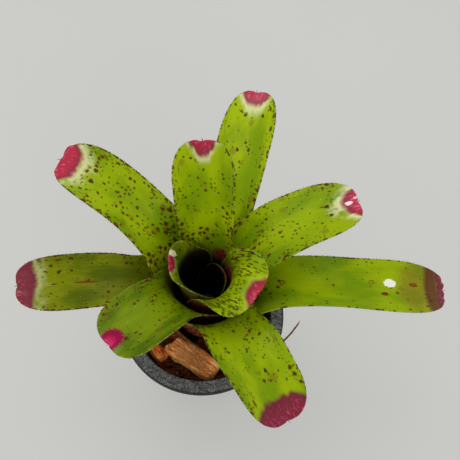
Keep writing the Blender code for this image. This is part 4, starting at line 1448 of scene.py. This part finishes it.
# --- Pot --------------------------------------------------------------------------------
@dataclass(frozen=True)
class NurseryPot:
    """Thin black pot with a turned-over rim; mm."""

    rim_width: float = 9.0
    skirt: float = 5.0
    wall: float = 1.4
    floor: float = 2.0
    base: float = 33.5
    base_edge: float = 1.5
    step: float = 4.0                  # height at which the wall leaves the base
    foot_ring: float = 5.0             # width of the ring that the pot stands on
    recess: float = 0.7                # of the underside inside that ring
    lip: float = 0.7                   # width of the slope from the rim's top into the opening
    hub: float = 2.0                   # radius at which the outline meets the axis
    rounding: float = 0.9
    corner_steps: int = 7
    drains: int = 6
    drain_radius: float = 3.5
    drain_circle: float = 22.0
    drill_sides: int = 32
    drill_heights: tuple[float, float] = (-2.0, 6.0)
    steps: int = 192

    def outline(self, rim: float, top: float) -> Array:
        """The wall's closed outline as radius and height, with rounded corners.

        Args:
            rim: Outer radius of the rim.
            top: Height of the rim.

        Returns:
            Points round the outline, starting and ending close to the axis.
        """
        opening = rim - self.rim_width
        lean = (opening - self.base + self.wall) / (top - self.floor)
        corners = [
            (self.hub, self.floor, 0.0), (self.base - self.wall, self.floor, 1.2),
            (opening - lean * self.rounding, top - self.rounding, 0.3), (opening + self.lip, top, 0.5),
            (rim - 0.2, top, self.rounding), (rim, top - self.skirt, 0.5),
            (rim - self.wall, top - self.skirt, 0.5), (rim - self.wall, top - self.wall, 0.6),
            (opening + self.wall - lean * self.wall, top - self.wall, 0.6),
            (self.base + 0.12, self.step, 1.2), (self.base - 0.1, self.base_edge, 0.8),
            (self.base - self.base_edge, 0.0, 0.6), (self.base - self.foot_ring, 0.0, 0.4),
            (self.base - self.foot_ring - 0.6, self.recess, 0.4), (self.hub, self.recess, 0.0),
        ]
        places = np.array([(r, z) for r, z, _ in corners])
        path = [places[0]]
        for k in range(1, len(corners) - 1):
            before, here, after = places[k - 1], places[k], places[k + 1]
            inwards, outwards = unit(before - here), unit(after - here)
            room = 0.45 * min(np.linalg.norm(before - here), np.linalg.norm(after - here))
            back = min(corners[k][2], room)
            t = np.linspace(0.0, 1.0, self.corner_steps)[:, None]
            start, end = here + back * inwards, here + back * outwards
            path.extend((1 - t) ** 2 * start + 2 * (1 - t) * t * here + t**2 * end)
        path.append(places[-1])
        return self.filled(np.array(path))

    @staticmethod
    def filled(path: Array, longest: float = 2.5) -> Array:
        """The same outline with points added along its long straight runs."""
        parts = []
        for start, end in zip(path[:-1], path[1:]):
            count = max(1, math.ceil(np.linalg.norm(end - start) / longest))
            parts.append(start + (end - start) * np.linspace(0.0, 1.0, count, endpoint=False)[:, None])
        return np.concatenate([*parts, path[-1:]])

    def build(self, finish: bpy.types.Material) -> bpy.types.Object:
        """Turn the outline round the axis and cut the drain holes.

        Args:
            finish: The pot's plastic.

        Returns:
            The pot.
        """
        _, high = (np.array(corner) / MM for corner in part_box("nursery_pot"))
        path = self.outline(high[0], high[2])
        points = about(path[:, :1], round_steps(self.steps)[None, :], path[:, 1:])
        pot = make_piece("nursery_pot_moulded", ring_grid(points * MM, Ends.FANS), finish)
        self.drill(pot)
        return stand_in(pot, "nursery_pot")

    def drill(self, pot: bpy.types.Object) -> None:
        """Cut a ring of round holes through the pot's floor, and keep the result in its mesh."""
        heights = np.array(self.drill_heights)[:, None]
        drill = about(self.drain_radius, np.tile(round_steps(self.drill_sides), (2, 1)), heights)
        angles = FULL_TURN * np.arange(self.drains) / self.drains
        places = about(self.drain_circle, angles, 0.0)
        surface = join([ring_grid((drill + place) * MM, Ends.FANS) for place in places])
        mesh = bpy.data.meshes.new("drills")
        mesh.from_pydata(surface.points.tolist(), [], surface.quads.tolist() + surface.triangles.tolist())
        cutter = add_object("drills", mesh)
        cut = pot.modifiers.new("drains", "BOOLEAN")
        cut.operation = "DIFFERENCE"
        cut.object = cutter
        ready = pot.evaluated_get(bpy.context.evaluated_depsgraph_get())
        holed = bpy.data.meshes.new_from_object(ready)
        pot.modifiers.clear()
        pot.data = holed
        holed.name = "nursery_pot_moulded"
        bpy.data.objects.remove(cutter, do_unlink=True)


# distances from the pot's axis, in metres, over which the paler grey on the rim's top begins and ends
RIM_TOP_INNER, RIM_TOP_OUTER = (0.0455, 0.0468), (0.0547, 0.0538)


def pot_plastic() -> bpy.types.Material:
    """Black moulded plastic: fine grain, a paler grey on the rim's upward face, pale specks there."""
    material, w, shader = new_material("pot_plastic_black", 0.55, 0.22)
    place = w.place()
    split = w.add("ShaderNodeSeparateXYZ", {0: place})
    square_x, square_y = (w.maths("POWER", split.outputs[k], 2.0) for k in range(2))
    radius = w.maths("SQRT", w.plus(square_x, square_y))
    facing = w.add("ShaderNodeSeparateXYZ", {0: w.add("ShaderNodeNewGeometry").outputs["Normal"]}).outputs[2]
    grain = w.noise(place, 3.0, 0.75, 1150.0)
    cloud = w.noise(place, 4.0, 0.6, 160.0)
    on_rim = w.product(w.step(radius, *RIM_TOP_INNER), w.step(radius, *RIM_TOP_OUTER), w.step(facing, 0.5, 0.9))
    paler_top = w.product(on_rim, w.scaled(w.step(cloud, 0.25, 0.75), 0.4, 0.6),
                     w.scaled(w.step(grain, 0.42, 0.62), 0.85, 0.15))
    colour = w.blend(w.scaled(cloud, 0.35), linear(13, 14, 15), linear(26, 27, 29))
    colour = w.blend(paler_top, colour, linear(148, 148, 146))
    close = w.add("ShaderNodeVectorMath", {0: place, 3: 420.0}, operation="SCALE").outputs[0]
    far, chance, _, _ = w.cells(close)
    speck = w.product(w.step(far, 0.2, 0.1), w.below(chance, 0.035), on_rim)
    colour = w.blend(speck, colour, linear(200, 200, 196))
    w.link(colour, shader.inputs["Base Color"])
    w.link(w.scaled(grain, 0.3, 0.4), shader.inputs["Roughness"])
    w.bump(grain, shader, {"Strength": 0.35, "Distance": 0.0003})
    return material


def dress_stem() -> None:
    """Give the CAD stem its brown, ringed tissue."""
    material, w, shader = new_material("stem_tissue", 0.8, 0.3)
    flat = w.add("ShaderNodeMapping", {"Vector": w.place(), "Scale": (60.0, 60.0, 420.0)}).outputs[0]
    rings = w.noise(flat, 4.0)
    colour = w.blend(w.step(rings, 0.35, 0.65), linear(66, 44, 26), linear(122, 100, 58))
    w.link(colour, shader.inputs["Base Color"])
    w.bump(rings, shader, {"Strength": 0.5, "Distance": 0.0008})
    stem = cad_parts["stem"]
    stem.data.materials.clear()
    stem.data.materials.append(material)


# --- Studio -----------------------------------------------------------------------------
@dataclass(frozen=True)
class Studio:
    """Pale floor, soft lights and the camera; metres."""

    lens: float = 66.52
    camera_place: tuple[float, float, float] = (0.0187, -0.191467, 0.634056)
    camera_tilt: float = 25.0          # from straight down
    floor_size: float = 6.0
    floor_glow: float = 0.44
    ambient: float = 0.80
    aim_height: float = 0.12           # that the lights look at
    key_power: float = 5.0
    fill_power: float = 2.2

    def floor(self) -> None:
        """A plain pale sheet, faintly uneven in tone."""
        mesh = bpy.data.meshes.new("floor")
        reach = self.floor_size / 2.0
        corners = [(-reach, -reach, 0.0), (reach, -reach, 0.0), (reach, reach, 0.0), (-reach, reach, 0.0)]
        mesh.from_pydata(corners, [], [(0, 1, 2, 3)])
        material, w, shader = new_material("floor_pale", 0.75, 0.2)
        tone = w.blend(w.noise(w.place(), 3.0, scale=4.0), linear(138, 137, 134), linear(146, 145, 142))
        w.link(tone, shader.inputs["Base Color"])
        shader.inputs["Emission Color"].default_value = linear(228, 228, 224)
        shader.inputs["Emission Strength"].default_value = self.floor_glow
        mesh.materials.append(material)
        add_object("floor", mesh)

    def light(self, name: str, place: tuple[float, float, float], size: float, power: float) -> None:
        """One square area light that looks at the plant."""
        lamp = bpy.data.lights.new(name, "AREA")
        lamp.shape, lamp.size, lamp.energy = "SQUARE", size, power
        item = add_object(name, lamp)
        item.location = place
        away = np.array(place) - np.array([0.0, 0.0, self.aim_height])
        flat = math.hypot(away[0], away[1])
        item.rotation_euler = (math.atan2(flat, away[2]), 0.0, math.atan2(away[1], away[0]) + math.pi / 2.0)

    def surroundings(self) -> None:
        """Even pale light from all round."""
        world = bpy.data.worlds.new("studio")
        world.use_nodes = True
        sky = world.node_tree.nodes["Background"]
        sky.inputs["Color"].default_value = linear(236, 238, 240)
        sky.inputs["Strength"].default_value = self.ambient
        bpy.context.scene.world = world

    def camera(self) -> None:
        """The camera, looking down from the front."""
        lens = bpy.data.cameras.new("camera")
        lens.lens = self.lens
        item = add_object("camera", lens)
        item.location = self.camera_place
        item.rotation_euler = (math.radians(self.camera_tilt), 0.0, 0.0)
        bpy.context.scene.camera = item

    def build(self) -> None:
        """Set up everything round the plant."""
        self.floor()
        self.surroundings()
        self.light("key", (-0.25, 0.45, 1.35), 0.8, self.key_power)
        self.light("fill", (0.35, -0.9, 0.9), 0.7, self.fill_power)
        self.camera()
        bpy.context.scene.view_settings.view_transform = "Standard"


def main() -> None:
    """Build the pot, the husk, the leaves and the studio."""
    logging.basicConfig(level=logging.INFO, format="%(name)s: %(message)s")
    _, pot_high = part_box("nursery_pot")
    stem_low, stem_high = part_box("stem")
    rim = pot_high[2] / MM
    stem = 0.5 * (stem_high[0] - stem_low[0]) / MM
    axis = 0.5 * (stem_high[0] + stem_low[0]) / MM

    Studio().build()
    NurseryPot().build(pot_plastic())
    husk = HuskFinish()
    HuskBed().build(husk)
    for order, chunk in enumerate(husk_chunks()):
        chunk.build(husk, order)
    LooseFibre().build(husk, rim)
    dress_stem()
    skin = LeafSkin()
    for leaf in leaves():
        leaf.build(skin, rim, stem, axis)


if __name__ == "__main__":
    main()
